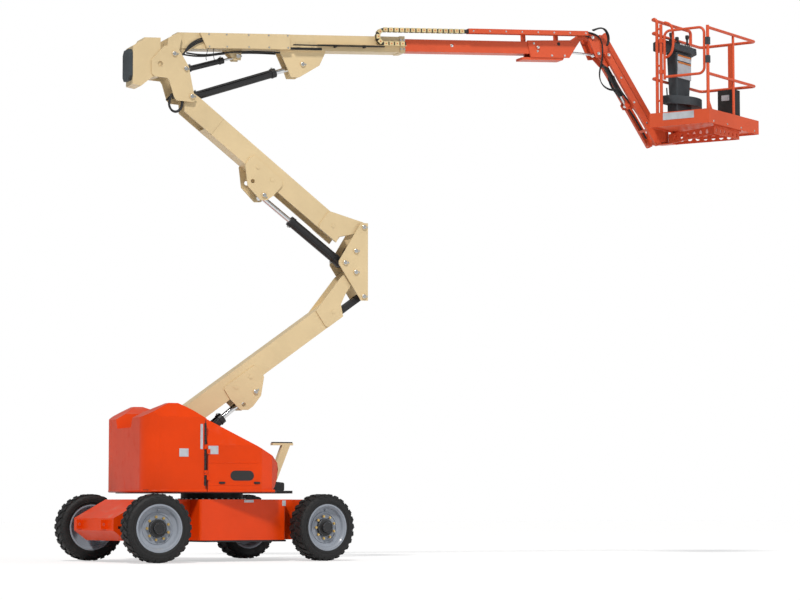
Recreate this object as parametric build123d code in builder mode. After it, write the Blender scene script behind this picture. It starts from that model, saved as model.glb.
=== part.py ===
from build123d import *
from math import atan2, cos, degrees, hypot, radians, sin
import os

# Articulating boom lift with an electric drive, millimetres.
# Row axes: origin on the floor under the swing axis, +X along the booms towards
# the platform, +Y to the machine's left seen along +X, +Z up.
# The chassis stands turned under the booms, its steered wheels are turned a
# little, and the platform is turned on its rotator.
# Pieces are drawn in the axes of the body that carries them: x along a boom,
# y across it and z square to both.

os.makedirs("parts", exist_ok=True)

# ---- clearances and plates ------------------------------------------------
RUN = 6.0              # gap between pieces that move past each other
PIN_GAP = 0.4          # radial gap of a pin in its bore and of a pad on its slide
SEAT = 0.3             # gap between a piece and what it rests against
PLATE = 12.0           # thick boom plate
SHEET = 5.0            # formed sheet
TUBE_WALL = 8.0        # wall of a boom tube

# ---- chassis --------------------------------------------------------------
CHASSIS_YAW = 14.0     # degrees that the chassis is turned under the booms
WHEELBASE = 2010.0
TRACK = 1510.0
AXLES_MIDDLE = -100.0  # chassis x of the wheelbase's middle
SIDE_BOX_X = (-525.0, 549.0)
SIDE_BOX_HALF_WIDTH = 600.0
CHASSIS_Z = (225.0, 650.0)
SHOULDER_X = 636.0     # where the side box's upper part ends
SHOULDER_Z = 577.0
NOSE_X = (-1440.0, 1270.0)
NOSE_HALF_WIDTH = 405.0
NOSE_SLOPE_X = 375.0   # length of the sloped top at each end
NOSE_EDGE_Z = 457.0
NOSE_CHAMFER_X = 150.0
NOSE_CHAMFER_Z = 330.0
CHASSIS_WALL = 10.0
TIE_LUG = 24.0         # thickness of a tie-down lug
TIE_HOLE = 16.0        # radius of its hole
BELLY_THICK = 18.0
BELLY_X = (-430.0, 560.0)

# ---- wheels ---------------------------------------------------------------
WHEEL_RADIUS = 355.0
WHEEL_WIDTH = 240.0
RIM_RADIUS = 235.0
RIM_WALL = 8.0
RIM_WIDTH = 206.0
RIM_LIP = 14.0
DISC_RADIUS = 160.0
DISC_SETBACK = 62.0    # from the rim's outer lip to the disc
DISC_THICK = 16.0
HUB_RADIUS = 92.0
HUB_LENGTH = 74.0
BOLT_CIRCLE_RADIUS = 118.0
BOLT_COUNT = 9
BOLT_RADIUS = 11.0
LUG_COUNT = 22
LUG_DEPTH = 16.0
LUG_SPAN = 80.0        # how far a shoulder lug reaches in from the side
STEER_REST = -12.0     # degrees
KINGPIN_SETBACK = 190.0
KINGPIN_RADIUS = 26.0
STEER_ARM = 150.0

# ---- swing and turntable --------------------------------------------------
BEARING_RADIUS = 330.0
BEARING_BORE = 210.0
BEARING_Z = (650.3, 714.0)
DECK_Z = (714.4, 744.0)
COVER_Z = 744.3       # underside of the rear cover
HOOD_Z = 750.0
COVER_X = (-975.0, -305.0)
COVER_HALF_WIDTH = 735.0
COVER_SIDE_TOP = 1500.0
COVER_SADDLE_Z = 1400.0
HUMP_Y = 620.0
HUMP_TOP_Z = 1646.0
HUMP_TOP_X = (-700.0, -600.0)
COVER_CORNER = 190.0
COVER_WALL = 8.0
HOOD_X = (-290.0, 552.0)
HOOD_HALF_WIDTH = 735.0
HOOD_INNER_Y = 235.0
HOOD_TOP_Z = 1503.0
HOOD_WALL = 6.0
BAY_Y = 190.0          # half width of the bay that the arms fold into

# ---- tower ----------------------------------------------------------------
LOWER_PIVOT = (-730.0, 1454.0)
LOWER_ANGLE = 35.65
LOWER_LIFT_BASE = (-480.0, 1035.0)
UPRIGHT_AT = (1685.0, 3240.0)
OUTER_PIN = 380.0      # from the upright's middle up and down to its outer pins
INNER_PIN = (94.0, 116.0)
TIP_PIN = (219.0, -15.0)
UPRIGHT_HALF = 425.0
HEAD_PIVOT = (-292.0, 4947.0)
UPPER_ANGLE = -37.7
ARM_DEPTH = 228.0
ARM_HALF_WIDTH = 100.0
ARM_WALL = 8.0
LOWER_TOP = -84.0      # arm's top face from its pivot, square to the arm
UPPER_TOP = 58.0
EAR_THICK = 14.0
UPRIGHT_PLATE_Y = (131.0, 145.0)
PIN_RADIUS = 22.0
PIN_HEAD = 27.0
SMALL_PIN = 16.0
LINK_HALF_WIDTH = 60.0
LINK_DEPTH = 62.0

# ---- boom head and main boom ----------------------------------------------
BOOM_PIVOT = (-492.0, 5395.0)
BOOM_ANGLE = 2.8
BOOM_REAR_X = 55.0
BOOM_END_X = 2690.0
BOOM_Z = (65.0, 238.0)
BOOM_HALF_WIDTH = 100.0
HEAD_PLATE_Y = (126.0, 140.0)
BOOM_SWEEP = 252.0     # radius kept free round the boom's pivot
FLY_X = (2000.0, 4240.0)
FLY_Z = (79.0, 217.0)
FLY_HALF_WIDTH = 80.0
TRAY_X = (3442.0, 4930.0)
TRAY_Z = (283.0, 335.0)
TRAY_Y = (-177.0, -99.0)
CHAIN_Y = (-164.0, -112.0)
CHAIN_THICK = 38.0
CARRIER_Z = 131.0      # underside of the carrier's lower run

# ---- jib ------------------------------------------------------------------
NOSE_PIN = (4502.0, 5912.0)
JIB_PIN = (4697.0, 5721.0)
JIB_ANGLE = -57.05
JIB_LENGTH = 1150.0
JIB_RISE = 220.0       # from the arm's pins up to the link's pins
JIB_BEAM_Y = (82.0, 126.0)
JIB_BEAM_DEPTH = 72.0
JIB_LINK_HALF_WIDTH = 38.0
JIB_LINK_DEPTH = 66.0

# ---- platform -------------------------------------------------------------
ROTATOR_REACH = 130.6      # from the jib's end pins to the rotator's axis
PLATFORM_ANGLE = 33.1
PLATFORM_LENGTH = 1220.0
PLATFORM_DEPTH = 760.0
PLATFORM_SETBACK = 172.0   # from the rotator's axis to the platform's edge
PLATFORM_RISE = 100.0      # from the jib's lower end pin up to the platform's floor edge
TOE_HEIGHT = 160.0
RAIL_HEIGHT = 1098.0
MID_RAIL_HEIGHT = 560.0
RAIL_RADIUS = 17.0
RAIL_INSET = 24.0
FLOOR_THICK = 26.0


# ---- helpers --------------------------------------------------------------
def pitched(at, angle):
    """Axes with their origin at (x, z) and x raised by an angle, y across."""
    turn = radians(angle)
    return Plane(
        origin=(at[0], 0, at[1]),
        x_dir=(cos(turn), 0, sin(turn)),
        z_dir=(-sin(turn), 0, cos(turn)),
    )


def yawed(at, angle):
    """Upright axes with their origin at (x, y, z), turned by an angle about z."""
    turn = radians(angle)
    return Plane(origin=at, x_dir=(cos(turn), sin(turn), 0), z_dir=(0, 0, 1))


def placed(axes, plane):
    """A plane given in a body's own axes, in the row's axes."""
    return Plane(axes.location * plane.location)


def row_point(axes, x, z):
    """The row's (x, z) of a point given in a pitched body's axes."""
    point = axes.from_local_coords(Vector(x, 0, z))
    return (point.X, point.Z)


def side_plate(axes, outline, y_range, holes=(), corner=0.0, mode=Mode.ADD):
    """Plate seen from the side: outline points are (x, z), holes (x, z, radius)."""
    plane = placed(axes, Plane.XZ.offset(-y_range[1]))
    with BuildSketch(plane) as profile:
        with BuildLine():
            Polyline(*outline, close=True)
        make_face()
        if corner:
            fillet(profile.vertices(), corner)
        for x, z, radius in holes:
            with Locations((x, z)):
                Circle(radius, mode=Mode.SUBTRACT)
    extrude(profile.sketch, amount=y_range[1] - y_range[0], mode=mode)


def side_plates(axes, outline, y_range, holes=(), corner=0.0):
    """The same plate on both sides of a boom."""
    side_plate(axes, outline, y_range, holes, corner)
    side_plate(axes, outline, (-y_range[1], -y_range[0]), holes, corner)


def cross_bar(axes, x, z, radius, y_range, mode=Mode.ADD):
    """Round bar, pin or bore across a boom."""
    with BuildSketch(placed(axes, Plane.XZ.offset(-y_range[1]))) as disc:
        with Locations((x, z)):
            Circle(radius)
    extrude(disc.sketch, amount=y_range[1] - y_range[0], mode=mode)


def block(axes, x, y, z, corner=0.0, mode=Mode.ADD):
    """Box between (low, high) pairs, its upright corners rounded if asked."""
    with BuildSketch(placed(axes, Plane.XY.offset(z[0]))) as foot:
        with Locations(((x[0] + x[1]) / 2, (y[0] + y[1]) / 2)):
            Rectangle(x[1] - x[0], y[1] - y[0])
        if corner:
            fillet(foot.vertices(), corner)
    extrude(foot.sketch, amount=z[1] - z[0], mode=mode)


def long_bar(axes, x, radius, y=0.0, z=0.0, mode=Mode.ADD):
    """Round bar along x."""
    with BuildSketch(placed(axes, Plane.YZ.offset(x[0]))) as disc:
        with Locations((y, z)):
            Circle(radius)
    extrude(disc.sketch, amount=x[1] - x[0], mode=mode)


def upright_bar(axes, x, y, z, radius, mode=Mode.ADD):
    """Round bar along z, between the heights z."""
    with BuildSketch(placed(axes, Plane.XY.offset(z[0]))) as disc:
        with Locations((x, y)):
            Circle(radius)
    extrude(disc.sketch, amount=z[1] - z[0], mode=mode)


def pin_heads(axes, x, z, y_face, radius=PIN_HEAD, proud=14.0):
    """The two ends of a pin, outside plates whose outer faces are at y_face."""
    cross_bar(axes, x, z, radius, (y_face, y_face + proud))
    cross_bar(axes, x, z, radius, (-y_face - proud, -y_face))


def rail(points, radius, bend, axes):
    """Round tube along points in a body's axes, with rounded corners."""
    world = [axes.from_local_coords(Vector(*point)) for point in points]
    with BuildLine() as path:
        if len(world) > 2:
            FilletPolyline(*world, radius=bend)
        else:
            Line(*world)
    start = Plane(origin=path.line @ 0, z_dir=path.line % 0)
    with BuildSketch(start) as ring:
        Circle(radius)
    sweep(ring.sketch, path=path.line)


def keep(piece, name):
    """Label a finished piece and write it."""
    piece.part.label = name
    export_step(piece.part, f"parts/{name}.step")


# ---- axes of the bodies ---------------------------------------------------
ROW = Plane.XY
CHASSIS = yawed((0, 0, 0), CHASSIS_YAW)
LOWER = pitched(LOWER_PIVOT, LOWER_ANGLE)
UPRIGHT = pitched(UPRIGHT_AT, 0)
UPPER = pitched(HEAD_PIVOT, UPPER_ANGLE)
HEAD = pitched(BOOM_PIVOT, 0)
BOOM = pitched(BOOM_PIVOT, BOOM_ANGLE)
NOSE = pitched(NOSE_PIN, 0)
JIB = pitched(JIB_PIN, JIB_ANGLE)
JIB_LINK = pitched((JIB_PIN[0], JIB_PIN[1] + JIB_RISE), JIB_ANGLE)
JIB_END = row_point(JIB, JIB_LENGTH, 0)
ROTATOR_X = JIB_END[0] + ROTATOR_REACH
PLATFORM_Z = JIB_END[1] + PLATFORM_RISE
PLATFORM = yawed((ROTATOR_X, 0, PLATFORM_Z), PLATFORM_ANGLE)

LOWER_MAIN_PIN = (UPRIGHT_AT[0] - INNER_PIN[0], UPRIGHT_AT[1] - INNER_PIN[1])
LOWER_LINK_PIN = (UPRIGHT_AT[0], UPRIGHT_AT[1] - OUTER_PIN)
UPPER_MAIN_PIN = (UPRIGHT_AT[0], UPRIGHT_AT[1] + OUTER_PIN)
UPRIGHT_TIP = (UPRIGHT_AT[0] - TIP_PIN[0], UPRIGHT_AT[1] + TIP_PIN[1])
LINK_OFFSET = (LOWER_LINK_PIN[0] - LOWER_MAIN_PIN[0], LOWER_LINK_PIN[1] - LOWER_MAIN_PIN[1])
LINK_BASE = (LOWER_PIVOT[0] + LINK_OFFSET[0], LOWER_PIVOT[1] + LINK_OFFSET[1])


def local(axes, at):
    """A row (x, z) point in a pitched body's axes."""
    point = axes.to_local_coords(Vector(at[0], 0, at[1]))
    return (point.X, point.Z)


AXLE_X = {"steer": AXLES_MIDDLE - WHEELBASE / 2, "drive": AXLES_MIDDLE + WHEELBASE / 2}
SIDES = {"near": -1, "far": 1}
KINGPIN_Y = TRACK / 2 - KINGPIN_SETBACK

# ===========================================================================
# Chassis
# ===========================================================================
AXLE_TOP = WHEEL_RADIUS + 75
low, high = CHASSIS_Z
NOSE_OUTLINE = [
    (NOSE_X[0], NOSE_EDGE_Z),
    (NOSE_X[0] + NOSE_SLOPE_X, high),
    (NOSE_X[1] - NOSE_SLOPE_X * 0.8, high),
    (NOSE_X[1], NOSE_EDGE_Z),
    (NOSE_X[1], NOSE_CHAMFER_Z),
    (NOSE_X[1] - NOSE_CHAMFER_X, low),
    (NOSE_X[0] + NOSE_CHAMFER_X, low),
    (NOSE_X[0], NOSE_CHAMFER_Z),
]
with BuildPart() as chassis_frame:
    side_plate(CHASSIS, NOSE_OUTLINE, (-NOSE_HALF_WIDTH, NOSE_HALF_WIDTH))
    block(CHASSIS, SIDE_BOX_X, (-SIDE_BOX_HALF_WIDTH, SIDE_BOX_HALF_WIDTH), CHASSIS_Z, corner=28)
    block(
        CHASSIS,
        (SIDE_BOX_X[1] - 60, SHOULDER_X),
        (-SIDE_BOX_HALF_WIDTH + 12, SIDE_BOX_HALF_WIDTH - 12),
        (SHOULDER_Z, high),
    )
    # open from below, so that it is a shell of plates
    inner = [
        (NOSE_X[0] + 2 * CHASSIS_WALL, NOSE_EDGE_Z - CHASSIS_WALL),
        (NOSE_X[0] + NOSE_SLOPE_X, high - CHASSIS_WALL - 4),
        (NOSE_X[1] - NOSE_SLOPE_X * 0.8, high - CHASSIS_WALL - 4),
        (NOSE_X[1] - 2 * CHASSIS_WALL, NOSE_EDGE_Z - CHASSIS_WALL),
        (NOSE_X[1] - 2 * CHASSIS_WALL, NOSE_CHAMFER_Z),
        (NOSE_X[1] - NOSE_CHAMFER_X - 10, low - 1),
        (NOSE_X[0] + NOSE_CHAMFER_X + 10, low - 1),
        (NOSE_X[0] + 2 * CHASSIS_WALL, NOSE_CHAMFER_Z),
    ]
    half = NOSE_HALF_WIDTH - CHASSIS_WALL
    side_plate(CHASSIS, inner, (-half, half), mode=Mode.SUBTRACT)
    for side in SIDES.values():
        y_in = NOSE_HALF_WIDTH + CHASSIS_WALL
        y_out = SIDE_BOX_HALF_WIDTH - CHASSIS_WALL
        block(
            CHASSIS,
            (SIDE_BOX_X[0] + CHASSIS_WALL, SIDE_BOX_X[1] - CHASSIS_WALL),
            (min(side * y_in, side * y_out), max(side * y_in, side * y_out)),
            (low - 1, high - CHASSIS_WALL - 4),
            mode=Mode.SUBTRACT,
        )
    # clearance for the axle beams
    for x in AXLE_X.values():
        block(
            CHASSIS,
            (x - 90, x + 90),
            (-NOSE_HALF_WIDTH - 1, NOSE_HALF_WIDTH + 1),
            (low - 1, WHEEL_RADIUS + 75 + RUN),
            mode=Mode.SUBTRACT,
        )
        # cross member that the axle hangs on
        inside = NOSE_HALF_WIDTH - 2
        block(
            CHASSIS,
            (x - 84, x + 84),
            (-inside, inside),
            (AXLE_TOP + RUN + SEAT, AXLE_TOP + RUN + 26),
        )
    # slots that the steering's cross rod runs through
    rod_x = AXLE_X["steer"] + STEER_ARM * cos(radians(STEER_REST))
    block(
        CHASSIS,
        (rod_x - 45, rod_x + 45),
        (-NOSE_HALF_WIDTH - 1, NOSE_HALF_WIDTH + 1),
        (low - 1, WHEEL_RADIUS - 45),
        mode=Mode.SUBTRACT,
    )
    # long hole in each nose side and the round hole under the swing bearing
    for x in (NOSE_X[0] + 85, NOSE_X[1] - 85):
        block(
            CHASSIS,
            (x - 32, x + 32),
            (-NOSE_HALF_WIDTH - 1, NOSE_HALF_WIDTH + 1),
            (348, 376),
            mode=Mode.SUBTRACT,
        )
    upright_bar(CHASSIS, 0, 0, (high - 40, high + 1), BEARING_BORE - 20, mode=Mode.SUBTRACT)
    # tie-down lugs on the end faces
    for x_face, way in ((NOSE_X[0], -1), (NOSE_X[1], 1)):
        for y in (-250, 250):
            x_out = x_face + way * 64
            x_near, x_far = sorted((x_face - way * 6, x_out))
            block(CHASSIS, (x_near, x_far), (y - TIE_LUG / 2, y + TIE_LUG / 2), (345, 440))
            cross_bar(CHASSIS, x_face + way * 34, 392, TIE_HOLE, (y - TIE_LUG, y + TIE_LUG), mode=Mode.SUBTRACT)
keep(chassis_frame, "chassis_frame")

with BuildPart() as belly_plate:
    block(
        CHASSIS,
        BELLY_X,
        (-SIDE_BOX_HALF_WIDTH + 14, SIDE_BOX_HALF_WIDTH - 14),
        (low - BELLY_THICK, low - SEAT),
    )
keep(belly_plate, "belly_plate")

# ---- axles ----------------------------------------------------------------
HUB_BACK = RIM_WIDTH / 2 - DISC_SETBACK - DISC_THICK - 20
for name, x in AXLE_X.items():
    with BuildPart() as axle:
        reach = KINGPIN_Y - 74 if name == "steer" else TRACK / 2 - 120
        block(CHASSIS, (x - 65, x + 65), (-reach, reach), (WHEEL_RADIUS - 60, WHEEL_RADIUS + 60))
        # centre block that hangs on the frame
        block(
            CHASSIS,
            (x - 84, x + 84),
            (-NOSE_HALF_WIDTH + 30, NOSE_HALF_WIDTH - 30),
            (WHEEL_RADIUS + 40, AXLE_TOP + RUN),
        )
        if name == "steer":
            for side in SIDES.values():
                for z in ((WHEEL_RADIUS - 92, WHEEL_RADIUS - 58), (WHEEL_RADIUS + 58, WHEEL_RADIUS + 92)):
                    y = sorted((side * (reach - 40), side * (KINGPIN_Y + 42)))
                    block(CHASSIS, (x - 45, x + 45), tuple(y), z, corner=20)
                # narrow end, which the turned steering arm passes
                y = sorted((side * (reach - 1), side * (KINGPIN_Y - 56)))
                block(CHASSIS, (x - 38, x + 38), tuple(y), (WHEEL_RADIUS - 60, WHEEL_RADIUS + 60))
        else:
            for side in SIDES.values():
                plane = placed(CHASSIS, Plane.XZ.offset(-side * reach))
                with BuildSketch(plane) as flange:
                    with Locations((x, WHEEL_RADIUS)):
                        Circle(110)
                extrude(flange.sketch, amount=-side * (TRACK / 2 + HUB_BACK - SEAT - reach))
    keep(axle, f"{name}_axle")

# ---- wheels ---------------------------------------------------------------
HALF_WIDTH = WHEEL_WIDTH / 2


def wheel_axes(name, side):
    """Axes at a wheel's middle, with y outwards and z up."""
    turn = STEER_REST if name == "steer" else 0.0
    x = AXLE_X[name]
    if name == "steer":
        kingpin = placed(CHASSIS, Plane(origin=(x, side * KINGPIN_Y, 0)))
        axes = placed(kingpin, yawed((0, 0, 0), turn))
        centre = placed(axes, Plane(origin=(0, side * KINGPIN_SETBACK, WHEEL_RADIUS)))
    else:
        centre = placed(CHASSIS, Plane(origin=(x, side * TRACK / 2, WHEEL_RADIUS)))
    return centre if side > 0 else placed(centre, yawed((0, 0, 0), 180))


# half section of the tyre as (distance from the axle, y)
TYRE_SECTION = [
    (RIM_RADIUS, -RIM_WIDTH / 2 + 4),
    (RIM_RADIUS + RIM_LIP + 1, -RIM_WIDTH / 2 + 4),
    (RIM_RADIUS + 34, -HALF_WIDTH + 4),
    (WHEEL_RADIUS - 62, -HALF_WIDTH),
    (WHEEL_RADIUS - LUG_DEPTH - 14, -HALF_WIDTH + 16),
    (WHEEL_RADIUS - LUG_DEPTH, -HALF_WIDTH + 52),
    (WHEEL_RADIUS - LUG_DEPTH, HALF_WIDTH - 52),
    (WHEEL_RADIUS - LUG_DEPTH - 14, HALF_WIDTH - 16),
    (WHEEL_RADIUS - 62, HALF_WIDTH),
    (RIM_RADIUS + 34, HALF_WIDTH - 4),
    (RIM_RADIUS + RIM_LIP + 1, RIM_WIDTH / 2 - 4),
    (RIM_RADIUS, RIM_WIDTH / 2 - 4),
]
# half section of the rim, from its inner lip round the well to its outer lip
RIM_SECTION = [
    (RIM_RADIUS - RIM_WALL, -RIM_WIDTH / 2),
    (RIM_RADIUS + RIM_LIP, -RIM_WIDTH / 2),
    (RIM_RADIUS + RIM_LIP, -RIM_WIDTH / 2 + 3),
    (RIM_RADIUS - SEAT, -RIM_WIDTH / 2 + 4 - SEAT),
    (RIM_RADIUS - SEAT, RIM_WIDTH / 2 - 4 + SEAT),
    (RIM_RADIUS + RIM_LIP, RIM_WIDTH / 2 - 3),
    (RIM_RADIUS + RIM_LIP, RIM_WIDTH / 2),
    (RIM_RADIUS - RIM_WALL, RIM_WIDTH / 2),
    (RIM_RADIUS - 22, RIM_WIDTH / 2 - 14),
    (RIM_RADIUS - 30, RIM_WIDTH / 2 - 44),
    (DISC_RADIUS, RIM_WIDTH / 2 - DISC_SETBACK),
    (60, RIM_WIDTH / 2 - DISC_SETBACK),
    (60, RIM_WIDTH / 2 - DISC_SETBACK - DISC_THICK),
    (DISC_RADIUS, RIM_WIDTH / 2 - DISC_SETBACK - DISC_THICK),
    (RIM_RADIUS - 34, RIM_WIDTH / 2 - DISC_SETBACK - 22),
    (RIM_RADIUS - 22, -RIM_WIDTH / 2 + 20),
]

for name in AXLE_X:
    for side_name, side in SIDES.items():
        axes = wheel_axes(name, side)
        section_plane = placed(axes, Plane.XY)
        spin = Axis(axes.origin, axes.y_dir)
        with BuildPart() as tyre:
            with BuildSketch(section_plane) as section:
                with BuildLine():
                    Polyline(*TYRE_SECTION, close=True)
                make_face()
            revolve(section.sketch, axis=spin)
            # shoulder lugs, one row each side, half a pitch apart
            for row in (-1, 1):
                for index in range(LUG_COUNT):
                    turn = 360.0 / LUG_COUNT * (index + (0.25 if row > 0 else -0.25))
                    lug_axes = placed(axes, Plane.XY.rotated((0, turn, 0)))
                    y = sorted((row * (HALF_WIDTH - 3), row * (HALF_WIDTH - LUG_SPAN)))
                    block(
                        lug_axes,
                        (-24, 24),
                        tuple(y),
                        (WHEEL_RADIUS - LUG_DEPTH - 26, WHEEL_RADIUS - 2.2),
                    )
        keep(tyre, f"tyre_{name}_{side_name}")

        with BuildPart() as rim:
            with BuildSketch(section_plane) as section:
                with BuildLine():
                    Polyline(*RIM_SECTION, close=True)
                make_face()
            revolve(section.sketch, axis=spin)
            face_y = RIM_WIDTH / 2 - DISC_SETBACK
            cross_bar(axes, 0, 0, HUB_RADIUS, (face_y - DISC_THICK - 20, face_y + HUB_LENGTH * 0.45))
            cross_bar(axes, 0, 0, HUB_RADIUS * 0.62, (face_y, face_y + HUB_LENGTH))
            for index in range(BOLT_COUNT):
                turn = radians(360.0 / BOLT_COUNT * index)
                cross_bar(
                    axes,
                    BOLT_CIRCLE_RADIUS * cos(turn),
                    BOLT_CIRCLE_RADIUS * sin(turn),
                    BOLT_RADIUS,
                    (face_y - 4, face_y + 22),
                )
        keep(rim, f"rim_{name}_{side_name}")

# ---- steering -------------------------------------------------------------
for side_name, side in SIDES.items():
    kingpin = placed(CHASSIS, Plane(origin=(AXLE_X["steer"], side * KINGPIN_Y, 0)))
    axes = placed(kingpin, yawed((0, 0, 0), STEER_REST))
    with BuildPart() as knuckle:
        upright_bar(axes, 0, 0, (WHEEL_RADIUS - 58 + PIN_GAP, WHEEL_RADIUS + 58 - PIN_GAP), 42)
        face_y = KINGPIN_SETBACK + HUB_BACK
        cross_bar(
            axes,
            0,
            WHEEL_RADIUS,
            56,
            tuple(sorted((side * 30, side * (face_y - SEAT)))),
        )
        # steering arm that points to the machine's middle
        block(axes, (30, STEER_ARM + 22), (-20, 20), (WHEEL_RADIUS - 50, WHEEL_RADIUS - 26), corner=12)
    keep(knuckle, f"knuckle_{side_name}")

ROD_Z = (WHEEL_RADIUS - 100, WHEEL_RADIUS - 72)
with BuildPart() as tie_rod:
    arm_x = AXLE_X["steer"] + STEER_ARM * cos(radians(STEER_REST))
    shift = STEER_ARM * sin(radians(STEER_REST))
    middle = (ROD_Z[0] + ROD_Z[1]) / 2
    cross_bar(CHASSIS, arm_x, middle, 14, (-KINGPIN_Y + shift + 10, KINGPIN_Y + shift - 10))
    for side in SIDES.values():
        upright_bar(CHASSIS, arm_x, side * KINGPIN_Y + shift, (ROD_Z[0] - 2, WHEEL_RADIUS - 50 - PIN_GAP), 22)
keep(tie_rod, "tie_rod")

# ===========================================================================
# Turntable
# ===========================================================================
with BuildPart() as swing_bearing:
    upright_bar(ROW, 0, 0, BEARING_Z, BEARING_RADIUS)
    upright_bar(ROW, 0, 0, BEARING_Z, BEARING_BORE, mode=Mode.SUBTRACT)
keep(swing_bearing, "swing_bearing")

MAST_Y = (150.0, 170.0)
with BuildPart() as turntable_frame:
    # deck plate
    with BuildSketch(Plane.XY.offset(DECK_Z[0])) as deck:
        with Locations((-185, 0)):
            RectangleRounded(1430, 1370, 150)
        with Locations((640, 0)):
            Rectangle(420, 360)
    extrude(deck.sketch, amount=DECK_Z[1] - DECK_Z[0])
    # mast plates that carry the lower arm, the link and the lift cylinder
    mast = [
        (-900, DECK_Z[1] - 2),
        (-900, 1270),
        (-810, 1500),
        (-690, 1530),
        (-640, 1500),
        (-480, 1250),
        (-180, 1060),
        (120, 900),
        (760, 830),
        (760, DECK_Z[1] - 2),
    ]
    side_plates(ROW, mast, MAST_Y, corner=18)
    # floor of the bay and its rear wall
    block(ROW, (-900, -880), (-MAST_Y[0] - 2, MAST_Y[0] + 2), (DECK_Z[1] - 2, 1200))
    block(ROW, (740, 760), (-MAST_Y[0] - 2, MAST_Y[0] + 2), (DECK_Z[1] - 2, 820))
    for x, z in (LOWER_PIVOT, LOWER_LIFT_BASE):
        cross_bar(ROW, x, z, PIN_RADIUS - PIN_GAP, (-MAST_Y[0] - 2, MAST_Y[0] + 2))
        pin_heads(ROW, x, z, MAST_Y[1] - 1)
    # lugs that reach up into the arm's channel and carry the link's pin
    x, z = LINK_BASE
    lug = [(x - 60, DECK_Z[1] - 2), (x - 34, z + 30), (x + 34, z + 30), (x + 60, DECK_Z[1] - 2)]
    side_plates(ROW, lug, (LINK_HALF_WIDTH + RUN, LINK_HALF_WIDTH + RUN + 14))
    cross_bar(ROW, x, z, PIN_RADIUS - PIN_GAP, (-LINK_HALF_WIDTH - 8, LINK_HALF_WIDTH + 8))
keep(turntable_frame, "turntable_frame")


HINGE_X = (COVER_X[1] + HOOD_X[0]) / 2
HINGE_Y = HOOD_HALF_WIDTH + 9.0
HINGE_Z = (850.0, 1120.0)
HINGE_LENGTH = 50.0
HINGE_RADIUS = 6.0


def hinge_leaf(side, way, z):
    """Half a hood hinge: a barrel outside the gap and a leaf that runs on to its cover."""
    upright_bar(ROW, HINGE_X, side * HINGE_Y, z, HINGE_RADIUS)
    x = sorted((HINGE_X, HINGE_X + way * 32))
    y = sorted((side * (HINGE_Y - 3), side * (HINGE_Y + 1)))
    block(ROW, tuple(x), tuple(y), z)
    x = sorted((HINGE_X + way * 14, HINGE_X + way * 32))
    y = sorted((side * (HINGE_Y - 12), side * HINGE_Y))
    block(ROW, tuple(x), tuple(y), z)


def cover_outline(half_width, x_range, corner):
    """Plan of the rear cover: square towards the booms, round at the tail."""
    with BuildSketch(Plane.XY.offset(COVER_Z)) as plan:
        with Locations(((x_range[0] + x_range[1]) / 2, 0)):
            Rectangle(x_range[1] - x_range[0], 2 * half_width)
        fillet(plan.vertices().group_by(Axis.X)[0], corner)
    return plan.sketch


COVER_PROFILE = [
    (-COVER_HALF_WIDTH - 1, COVER_Z - 1),
    (-COVER_HALF_WIDTH - 1, COVER_SIDE_TOP),
    (-HUMP_Y - 60, HUMP_TOP_Z),
    (-HUMP_Y + 60, HUMP_TOP_Z),
    (-330, 1560),
    (-250, COVER_SADDLE_Z),
    (250, COVER_SADDLE_Z),
    (330, 1560),
    (HUMP_Y - 60, HUMP_TOP_Z),
    (HUMP_Y + 60, HUMP_TOP_Z),
    (COVER_HALF_WIDTH + 1, COVER_SIDE_TOP),
    (COVER_HALF_WIDTH + 1, COVER_Z - 1),
]
COVER_SIDE = [
    (COVER_X[0] - 1, COVER_Z - 1),
    (COVER_X[0] - 1, COVER_SIDE_TOP),
    (HUMP_TOP_X[0] - 90, 1600),
    (HUMP_TOP_X[0], HUMP_TOP_Z),
    (HUMP_TOP_X[1], HUMP_TOP_Z),
    (-504, 1603),
    (-428, 1563),
    (COVER_X[1] + 1, 1486),
    (COVER_X[1] + 1, COVER_Z - 1),
]
with BuildPart() as rear_cover:
    extrude(cover_outline(COVER_HALF_WIDTH, COVER_X, COVER_CORNER), amount=HUMP_TOP_Z - COVER_Z)
    with BuildSketch(Plane.YZ.offset(COVER_X[0] - 1)) as across:
        with BuildLine():
            Polyline(*COVER_PROFILE, close=True)
        make_face()
    extrude(across.sketch, amount=COVER_X[1] - COVER_X[0] + 2, mode=Mode.INTERSECT)
    side_plate(ROW, COVER_SIDE, (-COVER_HALF_WIDTH - 1, COVER_HALF_WIDTH + 1), mode=Mode.INTERSECT)
    # shell: the inside follows the outside, open below and towards the booms
    inside = cover_outline(
        COVER_HALF_WIDTH - COVER_WALL, (COVER_X[0] + COVER_WALL, COVER_X[1] + 1), COVER_CORNER - COVER_WALL
    )
    extrude(inside, amount=COVER_SADDLE_Z - COVER_Z - 12, mode=Mode.SUBTRACT)
    block(
        ROW,
        (COVER_X[0] + 60, COVER_X[1] + 1),
        (-BAY_Y, BAY_Y),
        (COVER_Z - 1, HUMP_TOP_Z + 1),
        mode=Mode.SUBTRACT,
    )
    # feet inside the shell that stand on the deck
    for side in SIDES.values():
        for x, y in (((-520, -420), (600, 729)), ((COVER_X[0] + 5, -888), (300, 400))):
            block(ROW, x, tuple(sorted((side * y[0], side * y[1]))), (COVER_Z, COVER_Z + 10))
        for z in HINGE_Z:
            hinge_leaf(side, -1, (z + HINGE_LENGTH + PIN_GAP, z + 2 * HINGE_LENGTH))
keep(rear_cover, "rear_cover")

with BuildPart() as counterweight:
    for side in SIDES.values():
        y = sorted((side * (BAY_Y + 10), side * (COVER_HALF_WIDTH - COVER_WALL - 45)))
        block(ROW, (COVER_X[0] + 100, -560), tuple(y), (DECK_Z[1] + SEAT, 1330), corner=60)
keep(counterweight, "counterweight")

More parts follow.
